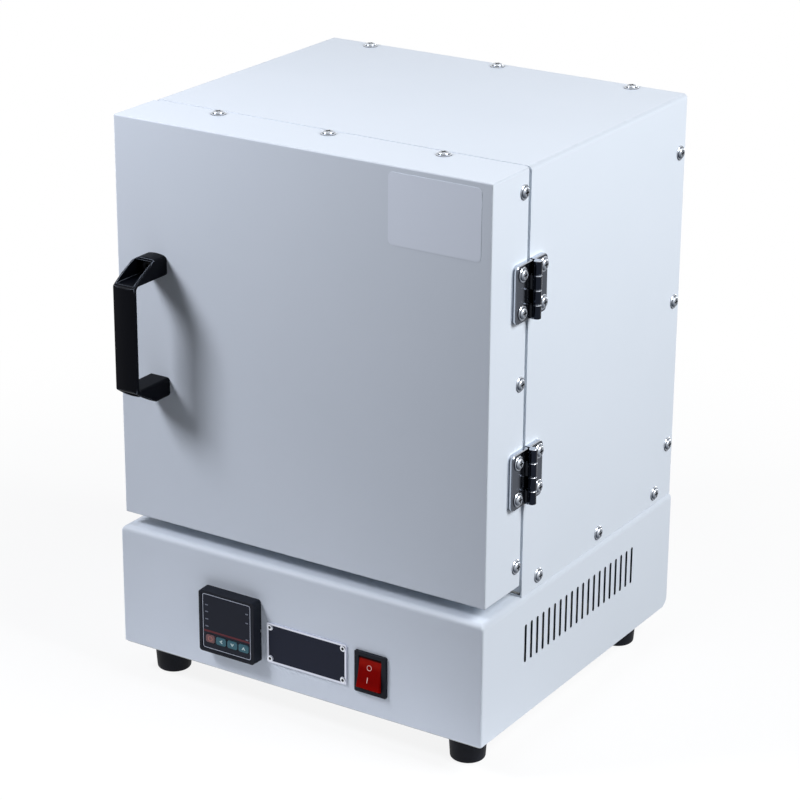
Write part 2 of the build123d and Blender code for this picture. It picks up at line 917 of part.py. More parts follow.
def chamber_back_wall():
    """The rear slab, with ways through for the element studs and the thermocouple."""
    slab = block(lining_left, lining_right, chamber_back, lining_back, floor_top, lining_top)
    start, length = chamber_back - past, back_slab_thickness + 2 * past
    for x, z in stud_places:
        slab -= rod((x, start, z), BACK, stud_radius + stud_gap, length)
    slab -= rod((probe_x, start, probe_z), BACK, probe_radius + lining_gap, length)
    for pocket in floor_screw_tips():
        slab -= pocket
    for x, y in joint_places:
        slab -= rod((x, y, floor_top), UP, joint_rivet_head, joint_rivet_head_height + sheet)
    return slab


def thermocouple():
    """A ceramic-sheathed probe through the back slab, with its head behind."""
    start = (probe_x, chamber_back - probe_reach, probe_z)
    sheath = rod(start, BACK, probe_radius, probe_reach + back_slab_thickness)
    sheath = fillet(sheath.edges().group_by(Axis.Y)[0], probe_tip_rounding)
    return sheath + rod((probe_x, lining_back, probe_z), BACK, probe_head_radius, probe_head_length)


def honeycomb_tile():
    """The loose pierced tile that keeps spills off the floor element."""
    x0, y0 = chamber_left + tile_side_gap, body_front + plug_depth + tile_end_gap
    tile_width = chamber_right - tile_side_gap - x0
    tile_depth = chamber_back - tile_end_gap - y0
    tile = block(x0, x0 + tile_width, y0, y0 + tile_depth, chamber_bottom, chamber_bottom + tile_thickness)
    columns = int((tile_width - 2 * tile_edge) // tile_pitch) + 1
    rows = int((tile_depth - 2 * tile_edge) // tile_pitch) + 1
    x_first = x0 + (tile_width - (columns - 1) * tile_pitch) / 2
    y_first = y0 + (tile_depth - (rows - 1) * tile_pitch) / 2
    holes = Sketch() + [
        Pos(x_first + i * tile_pitch, y_first + j * tile_pitch) * RegularPolygon(tile_hole_radius, 6)
        for i in range(columns)
        for j in range(rows)
    ]
    return tile - Pos(0, 0, chamber_bottom) * extrude(holes, amount=tile_thickness)


def element_stud(x, z):
    length = back_slab_thickness + stud_reach - lining_gap
    return rod((x, chamber_back, z), BACK, stud_radius, length)


def stud_bush(x, z):
    bush = rod((x, lining_back, z), BACK, bush_radius, bush_length)
    return bush - rod((x, lining_back - past, z), BACK, stud_radius + stud_gap, bush_length + 2 * past)


def door_skin():
    """The door's outer tray: face and four edges folded from one sheet."""
    tray = block(casing_left, casing_right, door_front, door_back, door_bottom, body_top)
    tray = fillet(tray.edges().filter_by(Axis.Y) + tray.edges().group_by(Axis.Y)[0], door_corner)
    tray -= block(
        casing_left + sheet,
        casing_right - sheet,
        door_front + sheet,
        door_back + past,
        door_bottom + sheet,
        body_top - sheet,
    )
    tray = cut_rows(tray, door_rows, shank_hole)
    for z in handle_screw_heights():
        tray -= rod((handle_x, door_front - past, z), BACK, handle_screw_radius + hole_gap, sheet + 2 * past)
    for start in hinge_screw_places(-1):
        tray -= rod(start, LEFT, thread_hole, screw_shank_length)
    return tray


def door_inner_edge(gap):
    """The door's inside corners, inset by a gap from the skin's inner faces."""
    return (
        casing_left + sheet + gap,
        casing_right - sheet - gap,
        door_bottom + sheet + gap,
        body_top - sheet - gap,
    )


def door_back_plate():
    """The door's inner frame: flanges that the edge screws hold, and a rim that fills the seam."""
    x0, x1, z0, z1 = door_inner_edge(fit_gap)
    plate = block(x0, x1, door_back - door_flange_width, door_back, z0, z1)
    plate -= block(x0 + sheet, x1 - sheet, door_front, door_back - sheet, z0 + sheet, z1 - sheet)
    x0, x1 = casing_left + seam_rim_inset, casing_right - seam_rim_inset
    z0, z1 = door_bottom + seam_rim_inset, body_top - seam_rim_top_inset
    rim = block(x0, x1, door_back, body_front - seam_rim_gap, z0, z1)
    rim = fillet(rim.edges().filter_by(Axis.Y).group_by(Axis.Z)[-1], wrapper_bend - sheet)
    rim -= block(
        x0 + seam_rim_width,
        x1 - seam_rim_width,
        door_back - past,
        body_front,
        z0 + seam_rim_width,
        z1 - seam_rim_width,
    )
    plate += rim
    reveal = plug_side_gap - plug_hole_gap
    plate -= block(
        chamber_left + reveal,
        chamber_right - reveal,
        door_back - sheet - past,
        door_back + past,
        chamber_bottom + reveal,
        chamber_top - reveal,
    )
    for start in hinge_screw_places(-1):
        plate -= rod(start, LEFT, thread_hole, screw_shank_length)
    return cut_rows(plate, door_rows, thread_hole)


def door_insulation():
    """The fibre board that fills the door."""
    x0, x1, z0, z1 = door_inner_edge(fit_gap + sheet + lining_gap)
    board = block(x0, x1, door_front + sheet + lining_gap, door_back - sheet, z0, z1)
    for direction, places in door_rows:
        for hole in screw_holes(places, direction, shank_hole + pocket_gap):
            board -= hole
    for z in handle_screw_heights():
        start = (handle_x, door_front, z)
        board -= rod(start, BACK, handle_nut_pocket, sheet + handle_nut_height + bolt_tip + pocket_gap)
    for start in hinge_screw_places(-1):
        board -= rod(start, LEFT, shank_hole + pocket_gap, screw_shank_length + pocket_gap)
    return board


def door_plug():
    """The raised fibre block that closes the chamber's mouth."""
    plug = block(
        chamber_left + plug_side_gap,
        chamber_right - plug_side_gap,
        door_back - sheet,
        body_front + plug_depth,
        chamber_bottom + plug_side_gap,
        chamber_top - plug_side_gap,
    )
    return chamfer(plug.edges().group_by(Axis.Y)[-1], plug_chamfer)


def handle_screw_heights():
    offset = (handle_span - handle_foot_height) / 2
    return [handle_z - offset, handle_z + offset]


def door_handle():
    """A moulded bridge handle with a hollow, open-topped leg at each end."""
    half = handle_span / 2
    shoulder = half - handle_foot_height
    inner_out = handle_projection - grip_thickness
    bow_out = (handle_top_land + handle_projection) / 2 + handle_bow / 2
    bow_up = (half + shoulder) / 2 + handle_bow
    outline = [
        Line((0, half), (handle_top_land, half)),
        ThreePointArc((handle_top_land, half), (bow_out, bow_up), (handle_projection, shoulder)),
        Line((handle_projection, shoulder), (handle_projection, -shoulder)),
        ThreePointArc((handle_projection, -shoulder), (bow_out, -bow_up), (handle_top_land, -half)),
        Polyline(
            (handle_top_land, -half),
            (0, -half),
            (0, -shoulder),
            (inner_out, -shoulder),
            (inner_out, shoulder),
            (0, shoulder),
            (0, half),
        ),
    ]
    side_view = Plane(origin=(handle_x, door_front, handle_z), x_dir=FRONT, z_dir=LEFT)
    bar = extrude(side_view * make_face(Curve() + outline), amount=handle_width / 2, both=True)
    cross = bar.edges().filter_by(Axis.X)
    bends = cross.filter_by(lambda edge: edge.center().Y < door_front - handle_edge)
    bar = fillet(bends, handle_bend)
    legs = bar.edges().filter_by(Axis.Y)
    inner = legs.filter_by(lambda edge: abs(edge.center().Z - handle_z) < (half + shoulder) / 2)
    bar = fillet(inner, handle_leg_round)
    window = shoulder + handle_leg_round + handle_edge
    grip_back = door_front - inner_out - handle_edge
    sides = bar.faces().filter_by(Axis.X).edges()
    sides = sides.filter_by(lambda edge: edge.center().Y < door_front - handle_edge / 2)
    beyond = sides.filter_by(lambda edge: abs(edge.center().Z - handle_z) > window)
    before = sides.filter_by(lambda edge: abs(edge.center().Z - handle_z) <= window)
    sides = beyond + before.filter_by(lambda edge: edge.center().Y < grip_back)
    bar = fillet(sides, handle_edge)
    side = handle_width / 2
    crowned = half - handle_crown
    front_outline = [
        ThreePointArc((-side, crowned), (0, half), (side, crowned)),
        Line((side, crowned), (side, -crowned)),
        ThreePointArc((side, -crowned), (0, -half), (-side, -crowned)),
        Line((-side, -crowned), (-side, crowned)),
    ]
    front_shape = make_face(Curve() + front_outline)
    front_view = front_face * fillet(front_shape.vertices(), handle_corner)
    bar &= Pos(handle_x, door_front, handle_z) * extrude(front_view, amount=handle_projection)
    low_front = handle_projection - handle_front_crown
    top_outline = [
        ThreePointArc((-side, -low_front), (0, -handle_projection), (side, -low_front)),
        Polyline((side, -low_front), (side, 0), (-side, 0), (-side, -low_front)),
    ]
    top_view = make_face(Curve() + top_outline)
    bar &= Pos(handle_x, door_front, handle_z - half) * extrude(top_view, amount=handle_span)
    slope = handle_foot_height / (handle_projection - handle_top_land)
    lip = handle_top_land + handle_wall
    end = handle_projection - handle_front_wall
    for way in (1, -1):
        pocket = Polyline(
            (handle_screw_wall, way * (shoulder + handle_wall)),
            (end, way * (shoulder + handle_wall)),
            (end, way * (half + handle_wall)),
            (lip, way * (half + handle_wall)),
            (lip, way * (half - handle_wall - slope * handle_wall)),
            (handle_screw_wall, way * (half - handle_wall)),
            close=True,
        )
        hollow = extrude(side_view * make_face(pocket), amount=handle_width / 2 - handle_wall, both=True)
        bar -= hollow
    for z in handle_screw_heights():
        start = (handle_x, door_front + past, z)
        bar -= rod(start, FRONT, handle_screw_radius + hole_gap, handle_screw_wall + 2 * past)
    return bar


def handle_screw(z):
    """A socket-head screw seated in the handle's hollow leg."""
    seat = door_front - handle_screw_wall
    head = rod((handle_x, seat, z), FRONT, handle_screw_head_radius, handle_screw_head_height)
    hexagon = RegularPolygon(handle_socket_flats / 2, 6, major_radius=False)
    socket = extrude(hexagon, amount=handle_socket_depth)
    head -= Plane(origin=(handle_x, seat - handle_screw_head_height, z), z_dir=BACK) * socket
    shank = handle_screw_wall + sheet + handle_nut_height + bolt_tip
    return head + rod((handle_x, seat, z), BACK, handle_screw_radius, shank)


def handle_nut(z):
    start = (handle_x, door_front + sheet, z)
    return hex_nut(start, BACK, handle_nut_flats, handle_screw_radius + thread_gap, handle_nut_height)


def hinge_screw_places(side):
    """Screw places of the hinge leaves on the door (side -1) or the body (side 1)."""
    x = casing_right + hinge_shim + hinge_leaf
    y = hinge_y + side * hinge_screw_offset
    half = hinge_screw_spacing / 2
    return [(x, y, middle + end * half) for middle in hinge_heights for end in (-1, 1)]


def hinge_plate(side, middle, x0, x1):
    """A leaf's flat: square at the seam, round-cornered away from it."""
    reach = hinge_body_reach if side > 0 else hinge_door_reach
    near = hinge_y + side * leaf_edge_gap
    far = hinge_y + side * (leaf_edge_gap + reach)
    half = hinge_height / 2
    plate = block(x0, x1, min(near, far), max(near, far), middle - half, middle + half)
    groups = plate.edges().filter_by(Axis.X).group_by(Axis.Y)
    return fillet(groups[-1 if side > 0 else 0], hinge_corner)


def hinge_leaf_solid(side, middle):
    """A leaf with its knuckles: the body's leaf has the first and third from the top."""
    x0 = casing_right + hinge_shim
    leaf = hinge_plate(side, middle, x0, x0 + hinge_leaf)
    leaf = chamfer(leaf.faces().sort_by(Axis.X)[-1].edges(), leaf_bevel)
    knuckle = (hinge_height - (knuckle_count - 1) * knuckle_gap) / knuckle_count
    web_end = hinge_x - pin_radius - pin_gap - knuckle_web_gap
    for i in range(knuckle_count):
        owner = 1 if i % 2 == 0 else -1
        if owner != side:
            continue
        top = middle + hinge_height / 2 - i * (knuckle + knuckle_gap)
        barrel = rod((hinge_x, hinge_y, top - knuckle), UP, knuckle_radius, knuckle)
        leaf += chamfer(barrel.edges().filter_by(GeomType.CIRCLE), knuckle_edge)
        y_near = hinge_y + side * leaf_edge_gap
        y_far = y_near + side * knuckle_web
        leaf += block(x0, web_end, min(y_near, y_far), max(y_near, y_far), top - knuckle, top)
    leaf -= rod((hinge_x, hinge_y, middle - hinge_height), UP, pin_radius + pin_gap, 2 * hinge_height)
    for start in hinge_screw_places(side):
        leaf -= rod(start, LEFT, shank_hole, screw_shank_length)
    return leaf


def hinge_shim_solid(side, middle):
    shim = hinge_plate(side, middle, casing_right, casing_right + hinge_shim)
    for start in hinge_screw_places(side):
        shim -= rod(start, LEFT, shank_hole, screw_shank_length)
    return shim


def hinge_pin(middle):
    return rod((hinge_x, hinge_y, middle - hinge_height / 2), UP, pin_radius, hinge_height)


def door_magnet(z):
    """A flat magnet on the mouth frame that draws the door's steel plate."""
    x = casing_left + magnet_inset
    half_width, half_height = magnet_width / 2, magnet_height / 2
    front = body_front - magnet_thickness
    return block(x - half_width, x + half_width, front, body_front, z - half_height, z + half_height)


def label_film():
    x = casing_right - label_from_right - label_width / 2
    z = body_top - label_from_top - label_height / 2
    front = door_front - label_thickness
    return panel_plate(x, front, z, label_width, label_height, label_thickness, label_corner)


def controller_bezel():
    """The controller's tapered front frame."""
    taper = degrees(atan(bezel_front_step / bezel_depth))
    outline = front_face * RectangleRounded(bezel_size, bezel_size, bezel_corner)
    bezel = Pos(controller_x, base_front, controller_z) * extrude(outline, amount=bezel_depth, taper=taper)
    mouth_width, mouth_height = window_size + 2 * window_gap, window_height + 2 * window_gap
    front = base_front - bezel_depth - past
    depth = bezel_depth + 2 * past
    bezel -= panel_plate(controller_x, front, window_z, mouth_width, mouth_height, depth, window_corner)
    front = base_front - case_front - fit_gap
    housing = case_size + 2 * case_gap
    bezel -= panel_plate(controller_x, front, controller_z, housing, housing, depth, hole_corner)
    reach, rise = bezel_size / 2 + past, notch_height / 2
    return bezel - block(
        controller_x - reach,
        controller_x + reach,
        base_front - notch_depth,
        base_front + past,
        controller_z - rise,
        controller_z + rise,
    )


def key_places():
    """Four keys in a row: a set key and three arrow keys."""
    last = controller_x + key_row_shift + key_pitch
    arrows = [last - 2 * key_pitch, last - key_pitch, last]
    first = arrows[0] - key_pitch + (key_width - first_key_width) / 2
    return [(first, first_key_width)] + [(x, key_width) for x in arrows]


def controller_window():
    """The controller's front film and its carrier, pierced for the keys."""
    front = base_front - bezel_depth + window_recess
    window = panel_plate(
        controller_x, front, window_z, window_size, window_height, window_thickness, window_corner
    )
    cut_depth = window_thickness + 2 * past
    for x, width in key_places():
        hole_width, hole_height = width + 2 * key_gap, key_height + 2 * key_gap
        window -= panel_plate(x, front - past, key_row_z, hole_width, hole_height, cut_depth, key_corner)
    return window


def controller_case():
    """The controller's deep rear housing."""
    front = base_front - case_front
    depth = case_front + case_depth
    case = panel_plate(controller_x, front, controller_z, case_size, case_size, depth, case_corner)
    hollow = case_size - 2 * case_wall
    hollow_depth = depth - case_wall + past
    case -= panel_plate(controller_x, front - past, controller_z, hollow, hollow, hollow_depth, case_corner)
    return case


def controller_board():
    """The front circuit board with its digit display, on a stem from the case's rear wall."""
    y = base_front - board_front
    board = panel_plate(controller_x, y, controller_z, board_size, board_size, board_thickness, hole_corner)
    board += panel_plate(
        controller_x,
        base_front - display_front,
        controller_z + display_up,
        display_width,
        display_height,
        display_front - board_front,
        hole_corner,
    )
    half = board_stem / 2
    stem_front, stem_back = y + board_thickness / 2, base_front + case_depth - case_wall
    x0, x1 = controller_x - half, controller_x + half
    return board + block(x0, x1, stem_front, stem_back, controller_z - half, controller_z + half)


def controller_clamp():
    """The ring that holds the controller to the panel from behind."""
    inner = case_size + 2 * case_gap
    outer = inner + 2 * clamp_width
    y = base_front + sheet
    ring = panel_plate(controller_x, y, controller_z, outer, outer, clamp_depth, window_corner)
    hole_depth = clamp_depth + 2 * past
    return ring - panel_plate(controller_x, y - past, controller_z, inner, inner, hole_depth, hole_corner)


def controller_key(x, width):
    """One key: a cap in the window's hole with lips behind it."""
    window_front = base_front - bezel_depth + window_recess
    cap_front = window_front - key_proud
    lip_front = window_front + window_thickness + key_lip_gap
    cap_depth = lip_front + key_lip_thickness - cap_front
    cap = panel_plate(x, cap_front, key_row_z, width, key_height, cap_depth, key_corner - key_gap)
    lip_height = key_height + 2 * key_lip
    return cap + panel_plate(x, lip_front, key_row_z, width, lip_height, key_lip_thickness, hole_corner)


def switch_housing():
    """The switch's black bezel and body, one moulding, hollow for the rocker."""
    bezel = panel_plate(
        switch_x,
        base_front - switch_frame_proud,
        switch_z,
        switch_frame_width,
        switch_frame_height,
        switch_frame_proud,
        switch_frame_corner,
    )
    bezel = fillet(bezel.edges().group_by(Axis.Y)[0], switch_frame_edge)
    housing = bezel + panel_plate(
        switch_x, base_front, switch_z, switch_body_width, switch_body_height, switch_body_depth, hole_corner
    )
    housing -= panel_plate(
        switch_x,
        base_front - switch_frame_proud - past,
        switch_z,
        rocker_width + 2 * rocker_gap,
        2 * (rocker_radius + rocker_gap),
        switch_frame_proud + past + switch_pocket_depth,
        rocker_gap,
    )
    reach = rocker_width / 2 + trunnion_length + rocker_gap
    start = (switch_x - reach, rocker_y, switch_z)
    return housing - rod(start, RIGHT, trunnion_radius + thread_gap, 2 * reach)


def rocker():
    """The rocker in its off position, its upper end pressed in."""
    end_z = sqrt(rocker_radius**2 - rocker_face_out**2)
    shoulder = rocker_shoulder
    shoulder_z = sqrt(rocker_radius**2 - shoulder**2)
    profile = Plane(origin=(0, 0, 0), x_dir=FRONT, z_dir=LEFT)
    outline = [
        ThreePointArc(
            (rocker_face_out, -end_z), (rocker_face_out - rocker_face_hollow, 0), (rocker_face_out, end_z)
        ),
        ThreePointArc((rocker_face_out, end_z), (0, rocker_radius), (-shoulder, shoulder_z)),
        Polyline(
            (-shoulder, shoulder_z),
            (-rocker_back, rocker_back_half),
            (-rocker_back, -rocker_back_half),
            (-shoulder, -shoulder_z),
        ),
        ThreePointArc((-shoulder, -shoulder_z), (0, -rocker_radius), (rocker_face_out, -end_z)),
    ]
    body = extrude(profile * make_face(Curve() + outline), amount=rocker_width / 2, both=True)
    body = fillet(body.edges().group_by(Axis.Y)[0].filter_by(Axis.X), rocker_edge)
    reach = rocker_width / 2 + trunnion_length
    body += rod((-reach, 0, 0), RIGHT, trunnion_radius, 2 * reach)
    return Pos(switch_x, rocker_y, switch_z) * Rot(-rocker_tilt, 0, 0) * body


def switch_tab(offset):
    y = base_front + switch_body_depth
    z = switch_z + offset
    return block(
        switch_x - tab_width / 2,
        switch_x + tab_width / 2,
        y,
        y + tab_length,
        z - tab_thickness / 2,
        z + tab_thickness / 2,
    )


def nameplate():
    """A bare riveted plate with a raised border."""
    face = base_front - plate_thickness
    rim = face - plate_border_height
    depth = plate_thickness + plate_border_height
    plate = panel_plate(nameplate_x, rim, nameplate_z, plate_width, plate_height, depth, plate_corner)
    field_width, field_height = plate_width - 2 * plate_border, plate_height - 2 * plate_border
    plate -= panel_plate(nameplate_x, rim, nameplate_z, field_width, field_height, face - rim, hole_corner)
    for x, z in rivet_places:
        plate += rod((x, face, z), FRONT, rivet_pad_radius, plate_border_height)
        plate -= rod((x, rim - past, z), BACK, rivet_shank_radius + thread_gap, depth + 2 * past)
    return plate


def nameplate_rivet(x, z):
    seat = base_front - plate_thickness - plate_border_height
    rivet = rod((x, seat, z), FRONT, rivet_head_radius, rivet_head_height)
    rivet += rod((x, seat, z), BACK, rivet_shank_radius, rivet_length)
    return rivet - rod((x, seat - rivet_head_height, z), BACK, rivet_bore_radius, rivet_length)


def relay_heat_sink():
    """An extruded aluminium heat sink, fins down on the bottom plate."""
    half_width, half_depth = sink_width / 2, sink_depth / 2
    sink = block(
        relay_x - half_width,
        relay_x + half_width,
        relay_y - half_depth,
        relay_y + half_depth,
        sink_top - sink_plate,
        sink_top,
    )
    half_fin = sink_fin_thickness / 2
    for x in spread(relay_x - half_width + half_fin, relay_x + half_width - half_fin, sink_fin_count):
        sink += block(
            x - half_fin,
            x + half_fin,
            relay_y - half_depth,
            relay_y + half_depth,
            base_bottom,
            sink_top - sink_plate / 2,
        )
    return sink


def solid_state_relay():
    """The relay that switches the elements, flat on its heat sink."""
    body = block(
        relay_x - relay_width / 2,
        relay_x + relay_width / 2,
        relay_y - relay_depth / 2,
        relay_y + relay_depth / 2,
        sink_top,
        relay_top,
    )
    return fillet(body.edges().filter_by(Axis.Z), relay_corner)


def terminal_block():
    """A barrier strip of moulded plastic with one well for each pole."""
    strip = block(
        block_x - block_width / 2,
        block_x + block_width / 2,
        block_front,
        block_front + block_depth,
        base_bottom,
        block_top,
    )
    pitch = (block_width - block_wall) / block_poles
    y0, y1 = block_front + block_rim, block_front + block_depth - block_rim
    for i in range(block_poles):
        x0 = block_x - block_width / 2 + block_wall + i * pitch
        strip -= block(x0, x0 + pitch - block_wall, y0, y1, block_top - block_well_depth, block_top)
    return strip


def cable_gland():
    """The inlet in the base's back: hexagon, dome and threaded neck round an open bore."""
    hexagon = RegularPolygon(gland_flats / 2, 6, major_radius=False)
    gland = extrude(hexagon, amount=gland_collar)
    dome = Pos(0, 0, gland_collar) * Cylinder(
        gland_dome_radius, gland_dome_length, align=(Align.CENTER, Align.CENTER, Align.MIN)
    )
    dome = fillet(dome.edges().group_by(Axis.Z)[-1], gland_dome_edge)
    gland += dome
    gland += rod((0, 0, 0), DOWN, gland_thread_radius, gland_thread_length)
    gland -= Cylinder(gland_bore_radius, 3 * (gland_collar + gland_dome_length))
    return Plane(origin=(gland_x, body_back, gland_z), z_dir=BACK) * gland


def gland_locknut():
    start = (gland_x, body_back - sheet - locknut_height, gland_z)
    return hex_nut(start, BACK, gland_flats, gland_thread_radius + thread_gap, locknut_height)


def wire(*points):
    """A lead along straight runs joined by tangent arcs."""
    path = FilletPolyline(*points, radius=wire_bend)
    section = Plane(origin=path @ 0, z_dir=path % 0) * Circle(wire_radius)
    return sweep(section, path=path)


def internal_wiring():
    """The leads: element links behind the chamber, and the runs in the base."""
    stud_end = lining_back + stud_reach - lining_gap
    way_y = stud_end + wire_bend + 1.2
    slot_right = wire_slot_x + wire_slot_width / 2 - 6
    slot_middle = wire_slot_x + 2
    slot_left = wire_slot_x - wire_slot_width / 2 + 10
    (left_low, left_high, right_low, right_high, floor_left, floor_right) = stud_places
    controller_back = base_front + case_depth
    tab_end = base_front + switch_body_depth + tab_length
    over = 16
    leads = [
        wire(
            (left_high[0], stud_end, left_high[1]),
            (left_high[0], way_y, left_high[1]),
            (right_high[0], way_y, right_high[1]),
            (right_high[0], stud_end, right_high[1]),
        ),
        wire(
            (left_low[0], stud_end, left_low[1]),
            (left_low[0], way_y, left_low[1]),
            (floor_left[0], way_y, floor_left[1]),
            (floor_left[0], stud_end, floor_left[1]),
        ),
        wire(
            (right_low[0], stud_end, right_low[1]),
            (right_low[0], way_y, right_low[1]),
            (right_low[0], way_y, base_top + 16),
            (slot_right, wire_slot_y + 2, base_top + 11),
            (slot_right, wire_slot_y + 2, base_top - 25),
            (block_x - 15, block_y + 45, block_top + 26),
            (block_x - 15, block_y, block_top + 22),
            (block_x - 15, block_y, block_top),
        ),
        wire(
            (floor_right[0], stud_end, floor_right[1]),
            (floor_right[0], way_y, floor_right[1]),
            (floor_right[0], way_y, base_top + 35),
            (slot_middle, wire_slot_y, base_top + 22),
            (slot_middle, wire_slot_y, relay_top + over),
            (relay_x - 15, relay_y + 8, relay_top + over),
            (relay_x - 15, relay_y + 8, relay_top),
        ),
        wire(
            (probe_x, lining_back + probe_head_length / 2, probe_z - probe_head_radius),
            (probe_x, lining_back + probe_head_length / 2, probe_z - probe_head_radius - 14),
            (slot_left, wire_slot_y, probe_z - probe_head_radius - 34),
            (slot_left, wire_slot_y, base_top - 31),
            (controller_x + 7, controller_back + 100, controller_z + 8),
            (controller_x + 7, controller_back, controller_z + 8),
        ),
        wire(
            (controller_x - 5, controller_back, controller_z - 10),
            (controller_x - 5, controller_back + 50, controller_z - 10),
            (relay_x - 20, relay_y - 55, relay_top + over),
            (relay_x - 20, relay_y - 15, relay_top + over),
            (relay_x - 20, relay_y - 15, relay_top),
        ),
        wire(
            (block_x + 7, block_front, base_bottom + 10),
            (block_x + 7, block_front - 20, base_bottom + 10),
            (block_x + 7, tab_end + 36, base_bottom + 20),
            (switch_x, tab_end + 16, switch_z + tab_spacing / 2),
            (switch_x, tab_end, switch_z + tab_spacing / 2),
        ),
        wire(
            (switch_x, tab_end, switch_z - tab_spacing / 2),
            (switch_x, tab_end + 20, switch_z - tab_spacing / 2),
            (relay_x + 20, relay_y - 75, relay_top + over),
            (relay_x + 20, relay_y - 15, relay_top + over),
            (relay_x + 20, relay_y - 15, relay_top),
        ),
        wire(
            (block_x - 20, block_front, base_bottom + 10),
            (block_x - 20, block_front - 20, base_bottom + 10),
            (block_x - 20, controller_back + 30, base_bottom + 14),
            (controller_x - 11, controller_back + 30, controller_z - 19),
            (controller_x - 11, controller_back, controller_z - 19),
        ),
    ]
    return leads


# Base
save("base_shell", base_shell())
save("base_bottom_plate", base_bottom_plate())
save("base_back_panel", base_back_panel())
save("rubber_feet", *[rubber_foot(x, y) for x, y in foot_places])
save("foot_bolts", *[foot_bolt(x, y) for x, y in foot_places])
save("foot_nuts", *[foot_nut(x, y) for x, y in foot_places])
save(
    "base_cover_screws",
    *[small_screw((x, y, plate_bottom), DOWN) for x, y in plate_screw_places],
    *[small_screw((x, body_back, z), BACK) for x, z in rear_screw_places],
)
save("joint_rivets", *[joint_rivet(x, y) for x, y in joint_places])

# Body and lining
save("body_wrapper", body_wrapper())
save("body_front_frame", body_front_frame())
save("body_back_panel", body_back_panel())
save("body_floor_plate", body_floor_plate())
save("body_screws", *row_screws(back_rows + floor_rows))
save("chamber_left_wall", chamber_wall(-1))
save("chamber_right_wall", chamber_wall(1))
save("chamber_floor", chamber_floor())
save("chamber_roof", chamber_roof())
save("chamber_back_wall", chamber_back_wall())
save("wall_heating_coils", coil_run(left_coils), coil_run(right_coils))
save("floor_heating_coil", coil_run(floor_coils))
save("element_studs", *[element_stud(x, z) for x, z in stud_places])
save("stud_bushes", *[stud_bush(x, z) for x, z in stud_places])
save("honeycomb_tile", honeycomb_tile())
save("thermocouple", thermocouple())
save("door_magnets", *[door_magnet(door_middle + way * magnet_spread / 2) for way in (-1, 1)])

# Door
save("door_skin", door_skin())
save("door_back_plate", door_back_plate())
save("door_insulation", door_insulation())
save("door_plug", door_plug())
save("door_screws", *row_screws(door_rows))
save("door_handle", door_handle())
save(
    "handle_fixings",
    *[handle_screw(z) for z in handle_screw_heights()],
    *[handle_nut(z) for z in handle_screw_heights()],
)
save("label_film", label_film())

# Hinges
save("hinge_door_leaves", *[hinge_leaf_solid(-1, z) for z in hinge_heights])
save("hinge_body_leaves", *[hinge_leaf_solid(1, z) for z in hinge_heights])
save("hinge_door_shims", *[hinge_shim_solid(-1, z) for z in hinge_heights])
save("hinge_body_shims", *[hinge_shim_solid(1, z) for z in hinge_heights])
save("hinge_pins", *[hinge_pin(z) for z in hinge_heights])
save("hinge_door_screws", *[case_screw(place, RIGHT) for place in hinge_screw_places(-1)])
save("hinge_body_screws", *[case_screw(place, RIGHT) for place in hinge_screw_places(1)])

# Control panel
save("controller_bezel", controller_bezel())
save("controller_window", controller_window())
save("controller_case", controller_case())
save("controller_board", controller_board())
save("controller_clamp", controller_clamp())
for name, (x, width) in zip(("key_set", "key_shift", "key_down", "key_up"), key_places()):
    save(name, controller_key(x, width))
save("switch_housing", switch_housing())
save("switch_rocker", rocker())
save("switch_tabs", *[switch_tab(way * tab_spacing / 2) for way in (-1, 1)])
save("nameplate", nameplate())
save("nameplate_rivets", *[nameplate_rivet(x, z) for x, z in rivet_places])

# Electrics in the base
save("relay_heat_sink", relay_heat_sink())
save("solid_state_relay", solid_state_relay())
save("terminal_block", terminal_block())
save("cable_gland", cable_gland())
save("gland_locknut", gland_locknut())
save("internal_wiring", *internal_wiring())
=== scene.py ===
import bmesh
import bpy
import json
import math
from mathutils import Matrix, Vector
from mathutils.bvhtree import BVHTree


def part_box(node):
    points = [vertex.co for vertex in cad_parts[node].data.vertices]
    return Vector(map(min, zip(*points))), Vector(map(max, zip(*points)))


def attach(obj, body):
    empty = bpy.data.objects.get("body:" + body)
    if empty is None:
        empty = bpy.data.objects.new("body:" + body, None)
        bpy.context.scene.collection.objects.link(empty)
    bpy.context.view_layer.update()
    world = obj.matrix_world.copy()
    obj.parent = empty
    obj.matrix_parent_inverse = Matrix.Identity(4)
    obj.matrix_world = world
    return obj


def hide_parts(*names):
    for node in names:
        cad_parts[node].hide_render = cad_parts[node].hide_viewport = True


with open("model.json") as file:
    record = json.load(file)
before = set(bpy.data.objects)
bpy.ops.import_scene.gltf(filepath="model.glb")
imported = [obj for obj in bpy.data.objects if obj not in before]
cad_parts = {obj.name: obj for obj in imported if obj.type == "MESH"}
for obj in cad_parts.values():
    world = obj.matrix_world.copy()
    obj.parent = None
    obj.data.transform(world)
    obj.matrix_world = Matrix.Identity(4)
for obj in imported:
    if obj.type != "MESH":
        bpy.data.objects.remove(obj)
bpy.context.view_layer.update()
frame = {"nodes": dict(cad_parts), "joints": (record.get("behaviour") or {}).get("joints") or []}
nodes = frame["nodes"]
scene = bpy.context.scene
scene.view_settings.view_transform = "Standard"
MM = 0.001

# Camera: the furnace is seen from the right of its door and a little above, through a long lens.
# The place, the aim and the small tilt come from the straight edges of the case.
camera_eye = Vector((0.97613, -1.53620, 0.90796))
camera_aim = Vector((0.00141, -0.00172, 0.20511))
camera_tilt = math.radians(0.392)
sensor_width = 36.0
focal_pixels = 2726.6
picture_pixels = 800
clip_far = 20.0

